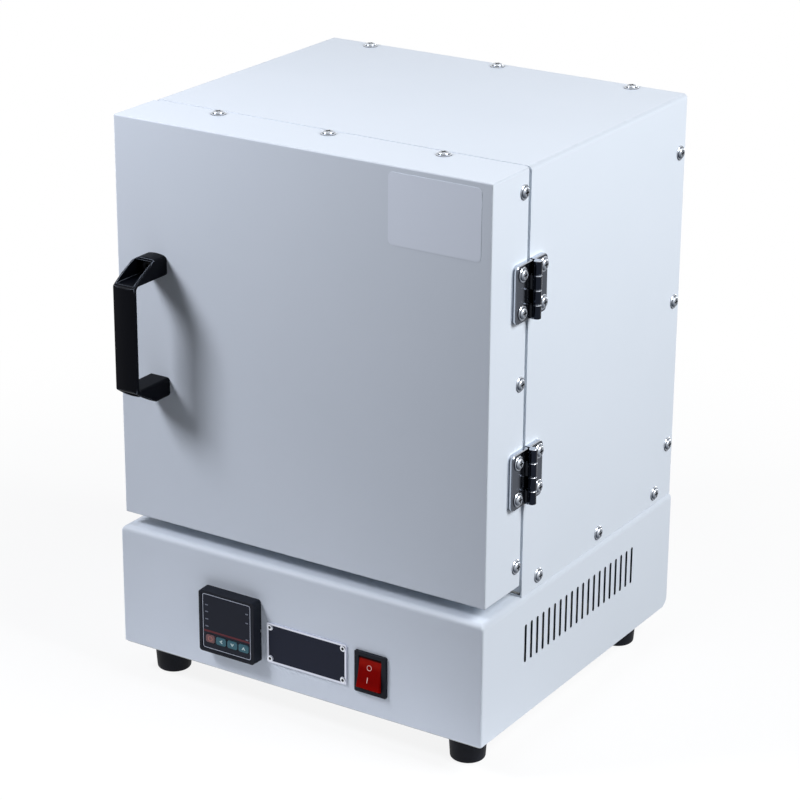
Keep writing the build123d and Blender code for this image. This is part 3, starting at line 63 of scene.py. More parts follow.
lens = bpy.data.cameras.new("camera")
lens.sensor_width = sensor_width
lens.lens = sensor_width * focal_pixels / picture_pixels
lens.clip_end = clip_far
camera = bpy.data.objects.new("camera", lens)
scene.collection.objects.link(camera)
scene.camera = camera
camera.location = camera_eye
camera.rotation_mode = "QUATERNION"
look = (camera_aim - camera_eye).to_track_quat("-Z", "Y")
camera.rotation_quaternion = look @ Matrix.Rotation(camera_tilt, 4, "Z").to_quaternion()


# Studio: a white table under soft boxes. The main one hangs high on the right, and a small near one
# at the upper left of the door throws the handle's soft shadow down to the right. Light comes back
# only from the table close to the front; camera, mirror and glass rays see the rest as white.
ambient_colour = "#F4F8FF"
ambient_strength = 0.06
floor_near = "#F0F1F5"
floor_far = "#34383F"
floor_half = 6.0
# The paper is pale inside table_near of its middle, and dark past table_far. Of what is seen of it,
# the share floor_lift glows plain white inside fade_near of the object, and all past fade_far.
table_middle = (-0.01, -0.14, 0.0)
table_near = 0.15
table_far = 0.245
floor_lift = 0.86
fade_near = 0.3
fade_far = 0.75
# Name, place, aim, width, height, watts and colour; the last two light the back and the left side.
soft_boxes = [
    ("side_box", (1.58, 0.1, 1.51), (0.10, 0.05, 0.25), 0.9, 0.9, 38.5, "#F7FAFF"),
    ("low_side_box", (2.2, -0.10, 1.0), (0.10, 0.05, 0.25), 1.3, 1.5, 9.0, "#F7FAFF"),
    ("door_box", (-0.56, -0.65, 0.88), (-0.05, -0.10, 0.30), 0.3, 0.3, 8.0, "#F2F5FF"),
    ("back_box", (-0.1, 2.3, 0.22), (0.0, 0.10, 0.22), 1.2, 0.36, 13.0, "#FFFFFF"),
    ("left_box", (-2.2, 0.45, 0.22), (-0.10, 0.05, 0.22), 1.0, 0.36, 12.0, "#FFFFFF"),
]


def linear(code, alpha=1.0):
    """An sRGB hex colour as linear red, green, blue and alpha."""
    parts = [int(code[i : i + 2], 16) / 255 for i in (1, 3, 5)]
    return [v / 12.92 if v <= 0.04045 else ((v + 0.055) / 1.055) ** 2.4 for v in parts] + [alpha]


def add(tree, kind, inputs=None, **settings):
    """A node with its own settings, and a value or a link for each named or numbered input."""
    node = tree.nodes.new(kind)
    for name, value in settings.items():
        setattr(node, name, value)
    for name, value in (inputs or {}).items():
        if isinstance(value, bpy.types.NodeSocket):
            tree.links.new(value, node.inputs[name])
        else:
            node.inputs[name].default_value = value
    return node


def seen_rays(tree):
    """One where a camera, mirror or glass ray looks, and nothing where light is only gathered."""
    path = add(tree, "ShaderNodeLightPath").outputs
    mirror = {0: path["Is Camera Ray"], 1: path["Is Glossy Ray"]}
    either = add(tree, "ShaderNodeMath", mirror, operation="MAXIMUM")
    glass = {0: either.outputs[0], 1: path["Is Transmission Ray"]}
    return add(tree, "ShaderNodeMath", glass, operation="MAXIMUM").outputs[0]


world = bpy.data.worlds.new("studio_air")
scene.world = world
world.use_nodes = True
air = world.node_tree
air.nodes.clear()
dim = add(air, "ShaderNodeBackground", {"Color": linear(ambient_colour), "Strength": ambient_strength})
white = add(air, "ShaderNodeBackground", {"Color": linear("#FFFFFF"), "Strength": 1.0})
either = add(air, "ShaderNodeMixShader", {0: seen_rays(air), 1: dim.outputs[0], 2: white.outputs[0]})
add(air, "ShaderNodeOutputWorld", {"Surface": either.outputs[0]})

floor_finish = bpy.data.materials.new("matt_paper_floor")
floor_finish.use_nodes = True
paper = floor_finish.node_tree
paper.nodes.clear()
place = add(paper, "ShaderNodeTexCoord").outputs["Object"]
away = add(paper, "ShaderNodeVectorMath", {0: place}, operation="LENGTH").outputs["Value"]
span = {0: place, 1: table_middle}
apart = add(paper, "ShaderNodeVectorMath", span, operation="DISTANCE").outputs["Value"]
ends = {"Value": apart, "From Min": table_near, "From Max": table_far}
rim = add(paper, "ShaderNodeMapRange", ends, interpolation_type="SMOOTHSTEP")
tint = {"Factor": rim.outputs[0], 6: linear(floor_near), 7: linear(floor_far)}
shade = add(paper, "ShaderNodeMix", tint, data_type="RGBA")
tint = {"Factor": seen_rays(paper), 6: shade.outputs[2], 7: linear("#FFFFFF")}
shade = add(paper, "ShaderNodeMix", tint, data_type="RGBA")
matt = add(paper, "ShaderNodeBsdfDiffuse", {"Color": shade.outputs[2]})
glow = add(paper, "ShaderNodeEmission", {"Color": linear("#FFFFFF"), "Strength": 1.0})
fade = {"Value": away, "From Min": fade_near, "From Max": fade_far, "To Min": floor_lift, "To Max": 1.0}
lift = add(paper, "ShaderNodeMapRange", fade, interpolation_type="SMOOTHSTEP")
seen = add(paper, "ShaderNodeMath", {0: lift.outputs[0], 1: seen_rays(paper)}, operation="MULTIPLY")
both = add(paper, "ShaderNodeMixShader", {0: seen.outputs[0], 1: matt.outputs[0], 2: glow.outputs[0]})
add(paper, "ShaderNodeOutputMaterial", {"Surface": both.outputs[0]})

floor_mesh = bpy.data.meshes.new("floor")
floor_corners = [(x * floor_half, y * floor_half, 0) for x, y in ((-1, -1), (1, -1), (1, 1), (-1, 1))]
floor_mesh.from_pydata(floor_corners, [], [(0, 1, 2, 3)])
floor_mesh.materials.append(floor_finish)
floor = bpy.data.objects.new("floor", floor_mesh)
scene.collection.objects.link(floor)

for name, spot, aim, width, height, watts, colour in soft_boxes:
    lamp = bpy.data.lights.new(name, "AREA")
    lamp.shape = "RECTANGLE"
    lamp.size = width
    lamp.size_y = height
    lamp.energy = watts
    lamp.color = linear(colour)[:3]
    box = bpy.data.objects.new(name, lamp)
    box.location = spot
    box.rotation_mode = "QUATERNION"
    box.rotation_quaternion = (Vector(aim) - Vector(spot)).to_track_quat("-Z", "Y")
    scene.collection.objects.link(box)


# Painted sheet steel: the case, the base and the door are 1.2 mm sheet, folded and spot-welded,
# with a baked white powder coat. It gives a satin gloss with a fine orange peel. A painted shade
# makes the bends a shade greyer, and a dark painted shade lies on the walls of the vent slots.
paint_colour = "#E2E8EF"
paint_shade = "#DDE4EB"
paint_bend_painted_shade = "#C4CAD1"
slot_wall_painted_shade = "#28303A"
# How strongly the painted shade shows on the bends over the sides, and over the front and the back
side_bend_share = 1.6
front_bend_share = 0.8
# The slots' walls face the front or the back, along this stretch of the sides and below this height.
slot_middle = 10 * MM
slot_reach = 90 * MM
slot_top = 98 * MM
slot_wall_facing = 0.5
peel_size = 1.4 * MM
peel_height = 0.012 * MM
cloud_size = 90 * MM


def new_finish(name, colour, roughness, metallic=0.0, ior=1.5, gloss=0.5):
    """A named material with one Principled shader; gives the material, its tree and the shader."""
    finish = bpy.data.materials.new(name)
    finish.use_nodes = True
    tree = finish.node_tree
    tree.nodes.clear()
    settings = {"Base Color": linear(colour), "Roughness": roughness, "Metallic": metallic, "IOR": ior}
    settings["Specular IOR Level"] = gloss
    shader = add(tree, "ShaderNodeBsdfPrincipled", settings)
    add(tree, "ShaderNodeOutputMaterial", {"Surface": shader.outputs[0]})
    return finish, tree, shader


def dress(finish, *names):
    """Give carried-over nodes their finish."""
    for name in names:
        mesh = nodes[name].data
        if not mesh.materials:
            mesh.materials.append(finish)
        for i in range(len(mesh.materials)):
            mesh.materials[i] = finish


def set_stops(ramp, stops):
    """Give a colour ramp its stops, each a place from 0 to 1 and a colour."""
    elements = ramp.color_ramp.elements
    while len(elements) < len(stops):
        elements.new(1.0)
    for element, (place, colour) in zip(elements, stops):
        element.position = place
        element.color = linear(colour)


def blend_colour(tree, shader, pattern, one, other):
    """Let a pattern take the base colour from one to another, each a hex code or an output."""
    first, last = (linear(tone) if isinstance(tone, str) else tone for tone in (one, other))
    tint = add(tree, "ShaderNodeMix", {"Factor": pattern, 6: first, 7: last}, data_type="RGBA")
    tree.links.new(tint.outputs[2], shader.inputs["Base Color"])


def vary_gloss(tree, shader, pattern, start, end):
    """Let a pattern take the roughness from one value to another."""
    level = add(tree, "ShaderNodeMapRange", {"Value": pattern, "To Min": start, "To Max": end})
    tree.links.new(level.outputs[0], shader.inputs["Roughness"])


def raise_skin(tree, shader, pattern, strength, depth):
    """Let a pattern lift the surface, by up to a depth in metres at full strength."""
    settings = {"Height": pattern, "Strength": strength, "Distance": depth}
    tree.links.new(add(tree, "ShaderNodeBump", settings).outputs[0], shader.inputs["Normal"])


powder_coat, tree, shader = new_finish("white_powder_coat", paint_colour, roughness=0.42, gloss=0.3)
where = add(tree, "ShaderNodeTexCoord").outputs
here = where["Object"]
cloud = add(tree, "ShaderNodeTexNoise", {"Vector": here, "Scale": 1 / cloud_size, "Detail": 3.0})
tint = {"Factor": cloud.outputs["Fac"], 6: linear(paint_shade), 7: linear(paint_colour)}
tone = add(tree, "ShaderNodeMix", tint, data_type="RGBA")
facing = add(tree, "ShaderNodeSeparateXYZ", {0: where["Normal"]}).outputs
place = add(tree, "ShaderNodeSeparateXYZ", {0: here}).outputs
# Painted shade on the bends: greyer the further a face turns between the top and a side, front or back
shares = []
for side, share in (("X", side_bend_share), ("Y", front_bend_share)):
    slant = add(tree, "ShaderNodeMath", {0: facing[side], 1: facing["Z"]}, operation="MULTIPLY")
    slant = add(tree, "ShaderNodeMath", {0: slant.outputs[0]}, operation="ABSOLUTE")
    slant = add(tree, "ShaderNodeMath", {0: slant.outputs[0], 1: share}, operation="MULTIPLY")
    shares.append(slant.outputs[0])
bend = add(tree, "ShaderNodeMath", {0: shares[0], 1: shares[1]}, operation="MAXIMUM")
tint = {"Factor": bend.outputs[0], 6: tone.outputs[2], 7: linear(paint_bend_painted_shade)}
tone = add(tree, "ShaderNodeMix", tint, data_type="RGBA")
# A dark painted shade on the walls of the vent slots, found by where they face and where they lie
side_on = add(tree, "ShaderNodeMath", {0: facing["Y"]}, operation="ABSOLUTE")
ends = {0: side_on.outputs[0], 1: slot_wall_facing}
side_on = add(tree, "ShaderNodeMath", ends, operation="GREATER_THAN")
among = add(tree, "ShaderNodeMath", {0: place["Y"], 1: slot_middle, 2: slot_reach}, operation="COMPARE")
below = add(tree, "ShaderNodeMath", {0: place["Z"], 1: slot_top}, operation="LESS_THAN")
slot_wall_shade = add(tree, "ShaderNodeMath", {0: side_on.outputs[0], 1: among.outputs[0]}, operation="MULTIPLY")
slot_wall_shade = add(tree, "ShaderNodeMath", {0: slot_wall_shade.outputs[0], 1: below.outputs[0]}, operation="MULTIPLY")
blend_colour(tree, shader, slot_wall_shade.outputs[0], tone.outputs[2], slot_wall_painted_shade)
peel = add(tree, "ShaderNodeTexNoise", {"Vector": here, "Scale": 1 / peel_size, "Detail": 2.0})
vary_gloss(tree, shader, peel.outputs["Fac"], start=0.38, end=0.50)
raise_skin(tree, shader, peel.outputs["Fac"], strength=0.5, depth=peel_height)
dress(
    powder_coat,
    "base_shell",
    "base_back_panel",
    "body_wrapper",
    "body_front_frame",
    "body_back_panel",
    "body_floor_plate",
    "door_skin",
    "door_back_plate",
)


# Bottom plate of the base: bare zinc-coated sheet, cut and drilled. The zinc has grown in flat
# crystals, the spangle, a few millimetres across, each a slightly different grey.
zinc_colour = "#A9ADB1"
zinc_light = "#BFC3C6"
spangle_size = 7 * MM

zinc_sheet, tree, shader = new_finish("spangled_zinc_sheet", zinc_colour, roughness=0.42, metallic=1.0)
here = add(tree, "ShaderNodeTexCoord").outputs["Object"]
spangle = add(tree, "ShaderNodeTexVoronoi", {"Vector": here, "Scale": 1 / spangle_size})
grain = add(tree, "ShaderNodeSeparateColor", {0: spangle.outputs["Color"]}).outputs[0]
blend_colour(tree, shader, grain, zinc_colour, zinc_light)
vary_gloss(tree, shader, grain, start=0.34, end=0.52)
dress(zinc_sheet, "base_bottom_plate")


# Fixings that are not on show: zinc-plated bolts, nuts and rivets from the bin, slightly dull.
plated_colour = "#B4B7B9"
plated_dull = "#8F9295"
stain_size = 2.5 * MM

zinc_plate, tree, shader = new_finish("dull_zinc_plating", plated_colour, roughness=0.34, metallic=1.0)
here = add(tree, "ShaderNodeTexCoord").outputs["Object"]
stain = add(tree, "ShaderNodeTexNoise", {"Vector": here, "Scale": 1 / stain_size, "Detail": 4.0})
blend_colour(tree, shader, stain.outputs["Fac"], plated_dull, plated_colour)
vary_gloss(tree, shader, stain.outputs["Fac"], start=0.45, end=0.24)
dress(zinc_plate, "foot_bolts", "foot_nuts", "joint_rivets")


# Feet: tapered bumpers of black rubber, moulded, each with a recess for its bolt. Moulded rubber
# is matt, with a fine grain and a trace of pale bloom.
rubber_colour = "#080B13"
bloom_colour = "#13161F"
# The real grain is a few times finer and would not show, so it is drawn this coarse.
rubber_grain = 0.6 * MM
rubber_grain_depth = 0.04 * MM
bloom_size = 9 * MM

foot_rubber, tree, shader = new_finish(
    "moulded_black_rubber", rubber_colour, roughness=0.62, ior=1.52, gloss=0.15
)
here = add(tree, "ShaderNodeTexCoord").outputs["Object"]
bloom = add(tree, "ShaderNodeTexNoise", {"Vector": here, "Scale": 1 / bloom_size, "Detail": 5.0})
ends = {"Value": bloom.outputs["Fac"], "From Min": 0.45, "From Max": 0.75}
some = add(tree, "ShaderNodeMapRange", ends)
blend_colour(tree, shader, some.outputs[0], rubber_colour, bloom_colour)
grain = add(tree, "ShaderNodeTexNoise", {"Vector": here, "Scale": 1 / rubber_grain, "Detail": 2.0})
raise_skin(tree, shader, grain.outputs["Fac"], strength=0.6, depth=rubber_grain_depth)
dress(foot_rubber, "rubber_feet")


# Case screws: flanged pan heads with a cross recess, cold-headed steel with bright nickel plate.
# Its reflection of the lamps above and the darker room below is painted into its colour, so a head is
# light on top and grey underneath, and the recess and the ring under the dome get a painted shade.
nickel_colour = "#C6CBD3"
nickel_painted_recess_shade = "#23272F"
nickel_haze_size = 1.2 * MM
hollow_reach = 1.3 * MM
# How open a spot is where the painted shade of the hollow is full, and where it ends
hollow_dark = 0.35
hollow_light = 0.85
# From -1, facing down, to 1, facing up
nickel_painted_reflection_stops = (
    (-0.75, "#30353E"),
    (-0.2, "#656C77"),
    (0.15, "#9BA1AB"),
    (0.6, "#D3D8DF"),
    (1.0, "#B7BDC6"),
)

bright_nickel, tree, shader = new_finish(
    "bright_nickel_plate", nickel_colour, roughness=0.12, metallic=1.0
)
where = add(tree, "ShaderNodeTexCoord").outputs
rise = add(tree, "ShaderNodeSeparateXYZ", {0: where["Normal"]}).outputs["Z"]
share = add(tree, "ShaderNodeMapRange", {"Value": rise, "From Min": -1.0}).outputs[0]
shade = add(tree, "ShaderNodeValToRGB", {"Fac": share})
set_stops(shade, [((level + 1) / 2, colour) for level, colour in nickel_painted_reflection_stops])
# Painted shade in the recess and the ring under the dome, where little light reaches
hollow = add(tree, "ShaderNodeAmbientOcclusion", {"Distance": hollow_reach}).outputs["AO"]
ends = {"Value": hollow, "From Min": hollow_dark, "From Max": hollow_light}
open_share = add(tree, "ShaderNodeMapRange", ends)
blend_colour(tree, shader, open_share.outputs[0], nickel_painted_recess_shade, shade.outputs[0])
cloud = {"Vector": where["Object"], "Scale": 1 / nickel_haze_size, "Detail": 3.0}
haze = add(tree, "ShaderNodeTexNoise", cloud)
vary_gloss(tree, shader, haze.outputs["Fac"], start=0.08, end=0.20)
dress(
    bright_nickel,
    "body_screws",
    "door_screws",
    "hinge_body_screws",
    "hinge_door_screws",
    "base_cover_screws",
)


# Hinges: cast stainless leaves on spacer shims, polished to a mirror, with their reflections painted in:
# painted light and dark lines on the edge of each leaf where the shim and the bevel meet it, a painted
# shade on the flat towards the rolled knuckles, which are painted dark, painted glints on the knuckles'
# chamfers and inner side, and a painted highlight on faces turned up.
steel_flat = "#3C424D"
steel_painted_shade = "#14171E"
knuckle_painted_shade = "#1E222B"
knuckle_painted_glint = "#C9CED6"
leaf_painted_top_highlight = "#C3C8D0"
leaf_stack = 3.5 * MM
leaf_painted_edge_lines = (
    (0.0, "#AEB4BE"),
    (0.16, "#AEB4BE"),
    (0.26, "#3A404A"),
    (0.44, "#4A505B"),
    (0.54, "#D9DDE3"),
    (0.76, "#C2C7CF"),
    (0.86, "#2A2E37"),
    (1.0, "#8D939D"),
)
# The real polishing lines are far finer, so they are drawn as coarse as they need to show.
polish_spacing = 0.5 * MM
polish_stretch = 0.05
painted_shade_reach = 15 * MM
knuckle_reach = 3.3 * MM
# The shares of that reach between which the look of the knuckles gives way to that of the flats
knuckle_blend = (0.95, 1.15)
# Each pair says how far a face turns, where its painted look starts and where it is full.
edge_turn = (0.9, 0.5)
top_turn = (0.4, 0.8)
inward_turn = (-0.1, -0.5)
chamfer_turn = (0.3, 0.6)
hinge_axis = Vector(next(j for j in frame["joints"] if j["name"] == "door_swing")["pos_m"])
case_side = Vector(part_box("body_wrapper")[1]).x

polished_steel, tree, shader = new_finish("polished_stainless", steel_flat, roughness=0.14, metallic=1.0)
where = add(tree, "ShaderNodeTexCoord").outputs
here = where["Object"]
facing = add(tree, "ShaderNodeSeparateXYZ", {0: where["Normal"]}).outputs
flat = add(tree, "ShaderNodeVectorMath", {0: here, 1: (1, 1, 0)}, operation="MULTIPLY")
centre = (hinge_axis.x, hinge_axis.y, 0)
far = add(tree, "ShaderNodeVectorMath", {0: flat.outputs[0], 1: centre}, operation="DISTANCE")
fall = {"Value": far.outputs["Value"], "From Min": knuckle_reach, "From Max": painted_shade_reach}
open_share = add(tree, "ShaderNodeMapRange", fall, interpolation_type="SMOOTHSTEP").outputs[0]
tint = {"Factor": open_share, 6: linear(steel_painted_shade), 7: linear(steel_flat)}
leaf_tone = add(tree, "ShaderNodeMix", tint, data_type="RGBA").outputs[2]
out = add(tree, "ShaderNodeSeparateXYZ", {0: here}).outputs["X"]
stack = {"Value": out, "From Min": case_side, "From Max": case_side + leaf_stack}
lines = add(tree, "ShaderNodeValToRGB", {"Fac": add(tree, "ShaderNodeMapRange", stack).outputs[0]})
set_stops(lines, leaf_painted_edge_lines)
edge_on = {"Value": facing["X"], "From Min": edge_turn[0], "From Max": edge_turn[1]}
edge_on = add(tree, "ShaderNodeMapRange", edge_on)
tint = {"Factor": edge_on.outputs[0], 6: leaf_tone, 7: lines.outputs[0]}
leaf_tone = add(tree, "ShaderNodeMix", tint, data_type="RGBA").outputs[2]
upward = {"Value": facing["Z"], "From Min": top_turn[0], "From Max": top_turn[1]}
upward = add(tree, "ShaderNodeMapRange", upward)
tint = {"Factor": upward.outputs[0], 6: leaf_tone, 7: linear(leaf_painted_top_highlight)}
leaf_tone = add(tree, "ShaderNodeMix", tint, data_type="RGBA").outputs[2]
inward = {"Value": facing["X"], "From Min": inward_turn[0], "From Max": inward_turn[1]}
inward = add(tree, "ShaderNodeMapRange", inward)
level = add(tree, "ShaderNodeMath", {0: facing["Z"]}, operation="ABSOLUTE")
chamfer = {"Value": level.outputs[0], "From Min": chamfer_turn[0], "From Max": chamfer_turn[1]}
chamfer = add(tree, "ShaderNodeMapRange", chamfer)
glint = {0: inward.outputs[0], 1: chamfer.outputs[0]}
painted_glint_share = add(tree, "ShaderNodeMath", glint, operation="MAXIMUM").outputs[0]
tint = {"Factor": painted_glint_share, 6: linear(knuckle_painted_shade), 7: linear(knuckle_painted_glint)}
knuckle_tone = add(tree, "ShaderNodeMix", tint, data_type="RGBA").outputs[2]
start, full = (share * knuckle_reach for share in knuckle_blend)
near = {"Value": far.outputs["Value"], "From Min": start, "From Max": full}
blend_colour(tree, shader, add(tree, "ShaderNodeMapRange", near).outputs[0], knuckle_tone, leaf_tone)
stretch = add(tree, "ShaderNodeMapping", {"Vector": here, "Scale": (1, 1, polish_stretch)})
lines = {"Vector": stretch.outputs[0], "Scale": 1 / polish_spacing, "Detail": 2.0}
polish = add(tree, "ShaderNodeTexNoise", lines)
vary_gloss(tree, shader, polish.outputs["Fac"], start=0.08, end=0.24)
dress(
    polished_steel,
    "hinge_body_leaves",
    "hinge_door_leaves",
    "hinge_body_shims",
    "hinge_door_shims",
    "hinge_pins",
)


# Door handle: a bridge handle moulded in black glass-filled nylon, with hollow legs over its
# two screws. The mould is spark-eroded, so the skin is satin with a very fine grain. The rims at both
# ends get a painted highlight, and the hollows a painted shade.
nylon_colour = "#04050A"
nylon_worn = "#090B11"
nylon_painted_hollow_shade = "#020305"
nylon_painted_rim_highlight = "#858C97"
nylon_edge_width = 0.7 * MM
nylon_rim_start = 34.5 * MM
nylon_rim_full = 37.5 * MM
nylon_rub_size = 14 * MM
# The real grain is a few times finer and would not show, so it is drawn this coarse.
nylon_grain = 0.45 * MM
nylon_grain_depth = 0.02 * MM
leg_hollow_reach = 9 * MM
edge_rays = 6
# The cosine of the bend where the painted highlight on an edge starts, and where it is full
edge_start = 0.995
edge_full = 0.90


def edge_share(tree, width):
    """From 0 on a flat to 1 on an edge or a tight bend, where a painted highlight is laid."""
    soft = add(tree, "ShaderNodeBevel", {"Radius": width}, samples=edge_rays).outputs[0]
    true = add(tree, "ShaderNodeNewGeometry").outputs["Normal"]
    same = add(tree, "ShaderNodeVectorMath", {0: soft, 1: true}, operation="DOT_PRODUCT").outputs["Value"]
    ends = {"Value": same, "From Min": edge_start, "From Max": edge_full}
    return add(tree, "ShaderNodeMapRange", ends).outputs[0]


handle_nylon, tree, shader = new_finish(
    "glass_filled_nylon", nylon_colour, roughness=0.42, ior=1.53, gloss=0.04
)
here = add(tree, "ShaderNodeTexCoord").outputs["Object"]
grain = add(tree, "ShaderNodeTexNoise", {"Vector": here, "Scale": 1 / nylon_grain, "Detail": 3.0})
rub = add(tree, "ShaderNodeTexNoise", {"Vector": here, "Scale": 1 / nylon_rub_size, "Detail": 2.0})
tint = {"Factor": rub.outputs["Fac"], 6: linear(nylon_colour), 7: linear(nylon_worn)}
tone = add(tree, "ShaderNodeMix", tint, data_type="RGBA")
# A painted shade deep in the hollows, where little light reaches
hollow = add(tree, "ShaderNodeAmbientOcclusion", {"Distance": leg_hollow_reach}).outputs["AO"]
tint = {"Factor": hollow, 6: linear(nylon_painted_hollow_shade), 7: tone.outputs[2]}
tone = add(tree, "ShaderNodeMix", tint, data_type="RGBA")
low, high = (Vector(corner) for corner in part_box("door_handle"))
height = add(tree, "ShaderNodeSeparateXYZ", {0: here}).outputs["Z"]
above = add(tree, "ShaderNodeMath", {0: height, 1: (low.z + high.z) / 2}, operation="SUBTRACT")
above = add(tree, "ShaderNodeMath", {0: above.outputs[0]}, operation="ABSOLUTE")
ends = {"Value": above.outputs[0], "From Min": nylon_rim_start, "From Max": nylon_rim_full}
near_end = add(tree, "ShaderNodeMapRange", ends)
rim = {0: edge_share(tree, nylon_edge_width), 1: near_end.outputs[0]}
rim = add(tree, "ShaderNodeMath", rim, operation="MULTIPLY")
blend_colour(tree, shader, rim.outputs[0], tone.outputs[2], nylon_painted_rim_highlight)
vary_gloss(tree, shader, grain.outputs["Fac"], start=0.34, end=0.50)
raise_skin(tree, shader, grain.outputs["Fac"], strength=0.5, depth=nylon_grain_depth)
dress(handle_nylon, "door_handle")


# Handle screws and nuts: socket-head steel screws with a black oxide skin, lightly oiled.
oxide_colour = "#15171B"
oil_size = 1.5 * MM

black_oxide, tree, shader = new_finish("oiled_black_oxide", oxide_colour, roughness=0.38, metallic=0.6)
here = add(tree, "ShaderNodeTexCoord").outputs["Object"]
oil = add(tree, "ShaderNodeTexNoise", {"Vector": here, "Scale": 1 / oil_size, "Detail": 2.0})
vary_gloss(tree, shader, oil.outputs["Fac"], start=0.28, end=0.48)
dress(black_oxide, "handle_fixings")


# Label film on the door: a clear matt polyester film, self-adhesive and plain. It reads as a
# shade paler than the paint behind it.
film_colour = "#E8EEF7"
fog_size = 3 * MM

label_film, tree, shader = new_finish("matt_clear_film", film_colour, roughness=0.5, ior=1.58)
here = add(tree, "ShaderNodeTexCoord").outputs["Object"]
fog = add(tree, "ShaderNodeTexNoise", {"Vector": here, "Scale": 1 / fog_size, "Detail": 3.0})
vary_gloss(tree, shader, fog.outputs["Fac"], start=0.42, end=0.56)
dress(label_film, "label_film")


# Controller: a square panel instrument. Its bezel, its case behind the panel and its clamp are
# black flame-retardant plastic from a finely textured mould, as are the switch's frame and the gland.
abs_colour = "#12161F"
# The real texture is a few times finer and would not show, so it is drawn this coarse.
abs_grain = 0.5 * MM
abs_grain_depth = 0.02 * MM

black_abs, tree, shader = new_finish(
    "textured_black_abs", abs_colour, roughness=0.46, ior=1.54, gloss=0.12
)
here = add(tree, "ShaderNodeTexCoord").outputs["Object"]
grain = add(tree, "ShaderNodeTexVoronoi", {"Vector": here, "Scale": 1 / abs_grain})
vary_gloss(tree, shader, grain.outputs["Distance"], start=0.40, end=0.56)
raise_skin(tree, shader, grain.outputs["Distance"], strength=0.4, depth=abs_grain_depth)
dress(
    black_abs,
    "controller_bezel",
    "controller_case",
    "controller_clamp",
    "switch_housing",
    "cable_gland",
    "gland_locknut",
)


# Controller window: a smoked film over the digits, with a fine pale frame line, a dark red line
# over the keys and a small plain tick at each lamp, printed in opaque ink on its front.
window_colour = "#1A1E2A"
ink_pale = "#C3C8D3"
ink_tick = "#767B88"
ink_red = "#5E242B"
ink_thick = 0.04 * MM
ink_proud = 0.8 * ink_thick
ink_speck_size = 0.3 * MM
film_haze_size = 2 * MM
# A place in front of every node, in metres along Y, where a search for its surface starts
before_the_front = -1.0
# Sizes and places of the print, in millimetres from the window's middle
frame_line_inset = 0.35
frame_line_width = 0.45
frame_line_corners = (1.6, 1.2)
red_line_drop = 7.6
red_line_width = 1.5
red_line_short = 0.4
left_tick_heights = (12.6, 7.3, 1.6, -4.0)
left_tick_size = (2.6, 0.8)
left_tick_share = -0.41
right_tick_heights = (14.0, 7.0, -6.0)
right_tick_size = (2.2, 0.9)
right_tick_share = 0.42

smoked_film, tree, shader = new_finish(
    "smoked_polyester_film", window_colour, roughness=0.22, ior=1.58, gloss=0.1
)
here = add(tree, "ShaderNodeTexCoord").outputs["Object"]
haze = add(tree, "ShaderNodeTexNoise", {"Vector": here, "Scale": 1 / film_haze_size, "Detail": 2.0})
vary_gloss(tree, shader, haze.outputs["Fac"], start=0.18, end=0.30)
dress(smoked_film, "controller_window")


def printed_ink(name, colour):
    """Screen-printed ink: opaque and even, with the slight speckle of the mesh."""
    ink, tree, shader = new_finish(name, colour, roughness=0.4, gloss=0.2)
    here = add(tree, "ShaderNodeTexCoord").outputs["Object"]
    speck = add(tree, "ShaderNodeTexNoise", {"Vector": here, "Scale": 1 / ink_speck_size, "Detail": 1.0})
    vary_gloss(tree, shader, speck.outputs["Fac"], start=0.34, end=0.48)
    return ink


def rounded(width, height, radius, steps=6):
    """The outline of a round-cornered rectangle about its middle."""
    points = []
    for i, (sx, sz) in enumerate(((1, 1), (-1, 1), (-1, -1), (1, -1))):
        for step in range(steps + 1):
            angle = math.radians(90 * i + 90 * step / steps)
            x = sx * (width / 2 - radius) + radius * math.cos(angle)
            points.append((x, sz * (height / 2 - radius) + radius * math.sin(angle)))
    return points


def bar(x, z, width, height):
    """The outline of a small rectangle."""
    corners = ((1, 1), (-1, 1), (-1, -1), (1, -1))
    return [(x + sx * width / 2, z + sz * height / 2) for sx, sz in corners]


def ring(radius, steps=28):
    """The outline of a circle."""
    angles = [2 * math.pi * i / steps for i in range(steps)]
    return [(radius * math.cos(a), radius * math.sin(a)) for a in angles]


def add_piece(name, mesh, finish, body, place=(0, 0, 0)):
    """Put a new mesh into the scene with its finish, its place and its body."""
    mesh.materials.append(finish)
    piece = bpy.data.objects.new(name, mesh)
    scene.collection.objects.link(piece)
    piece.location = place
    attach(piece, body)
    return piece


def flat_mesh(name, groups, thickness):
    """Thin flat solids, one for each group of an outline and its holes, in millimetres.

    They are drawn as seen from the front, X to the right and Z up, and reach back from Y = 0."""
    shape = bmesh.new()
    for loops in groups:
        edges = []
        for loop in loops:
            corners = [shape.verts.new((x * MM, 0, z * MM)) for x, z in loop]
            edges += [shape.edges.new((corners[i - 1], corners[i])) for i in range(len(corners))]
        filled = bmesh.ops.triangle_fill(shape, edges=edges, use_beauty=True)
        faces = [item for item in filled["geom"] if isinstance(item, bmesh.types.BMFace)]
        thick = bmesh.ops.extrude_face_region(shape, geom=faces)
        for item in thick["geom"]:
            if isinstance(item, bmesh.types.BMVert):
                item.co.y += thickness
    bmesh.ops.recalc_face_normals(shape, faces=shape.faces)
    mesh = bpy.data.meshes.new(name)
    shape.to_mesh(mesh)
    shape.free()
    return mesh


def lay_on(node, sign, x, z):
    """Lay a flat print on a node's front at x and z, following its curve; gives its place."""
    mesh = nodes[node].data
    corners = [vertex.co for vertex in mesh.vertices]
    skin = BVHTree.FromPolygons(corners, [tuple(face.vertices) for face in mesh.polygons])
    for corner in sign.vertices:
        above = Vector((x + corner.co.x, before_the_front, z + corner.co.z))
        spot = skin.ray_cast(above, Vector((0, 1, 0)))[0]
        corner.co.y += spot.y - ink_proud
    return x, 0, z


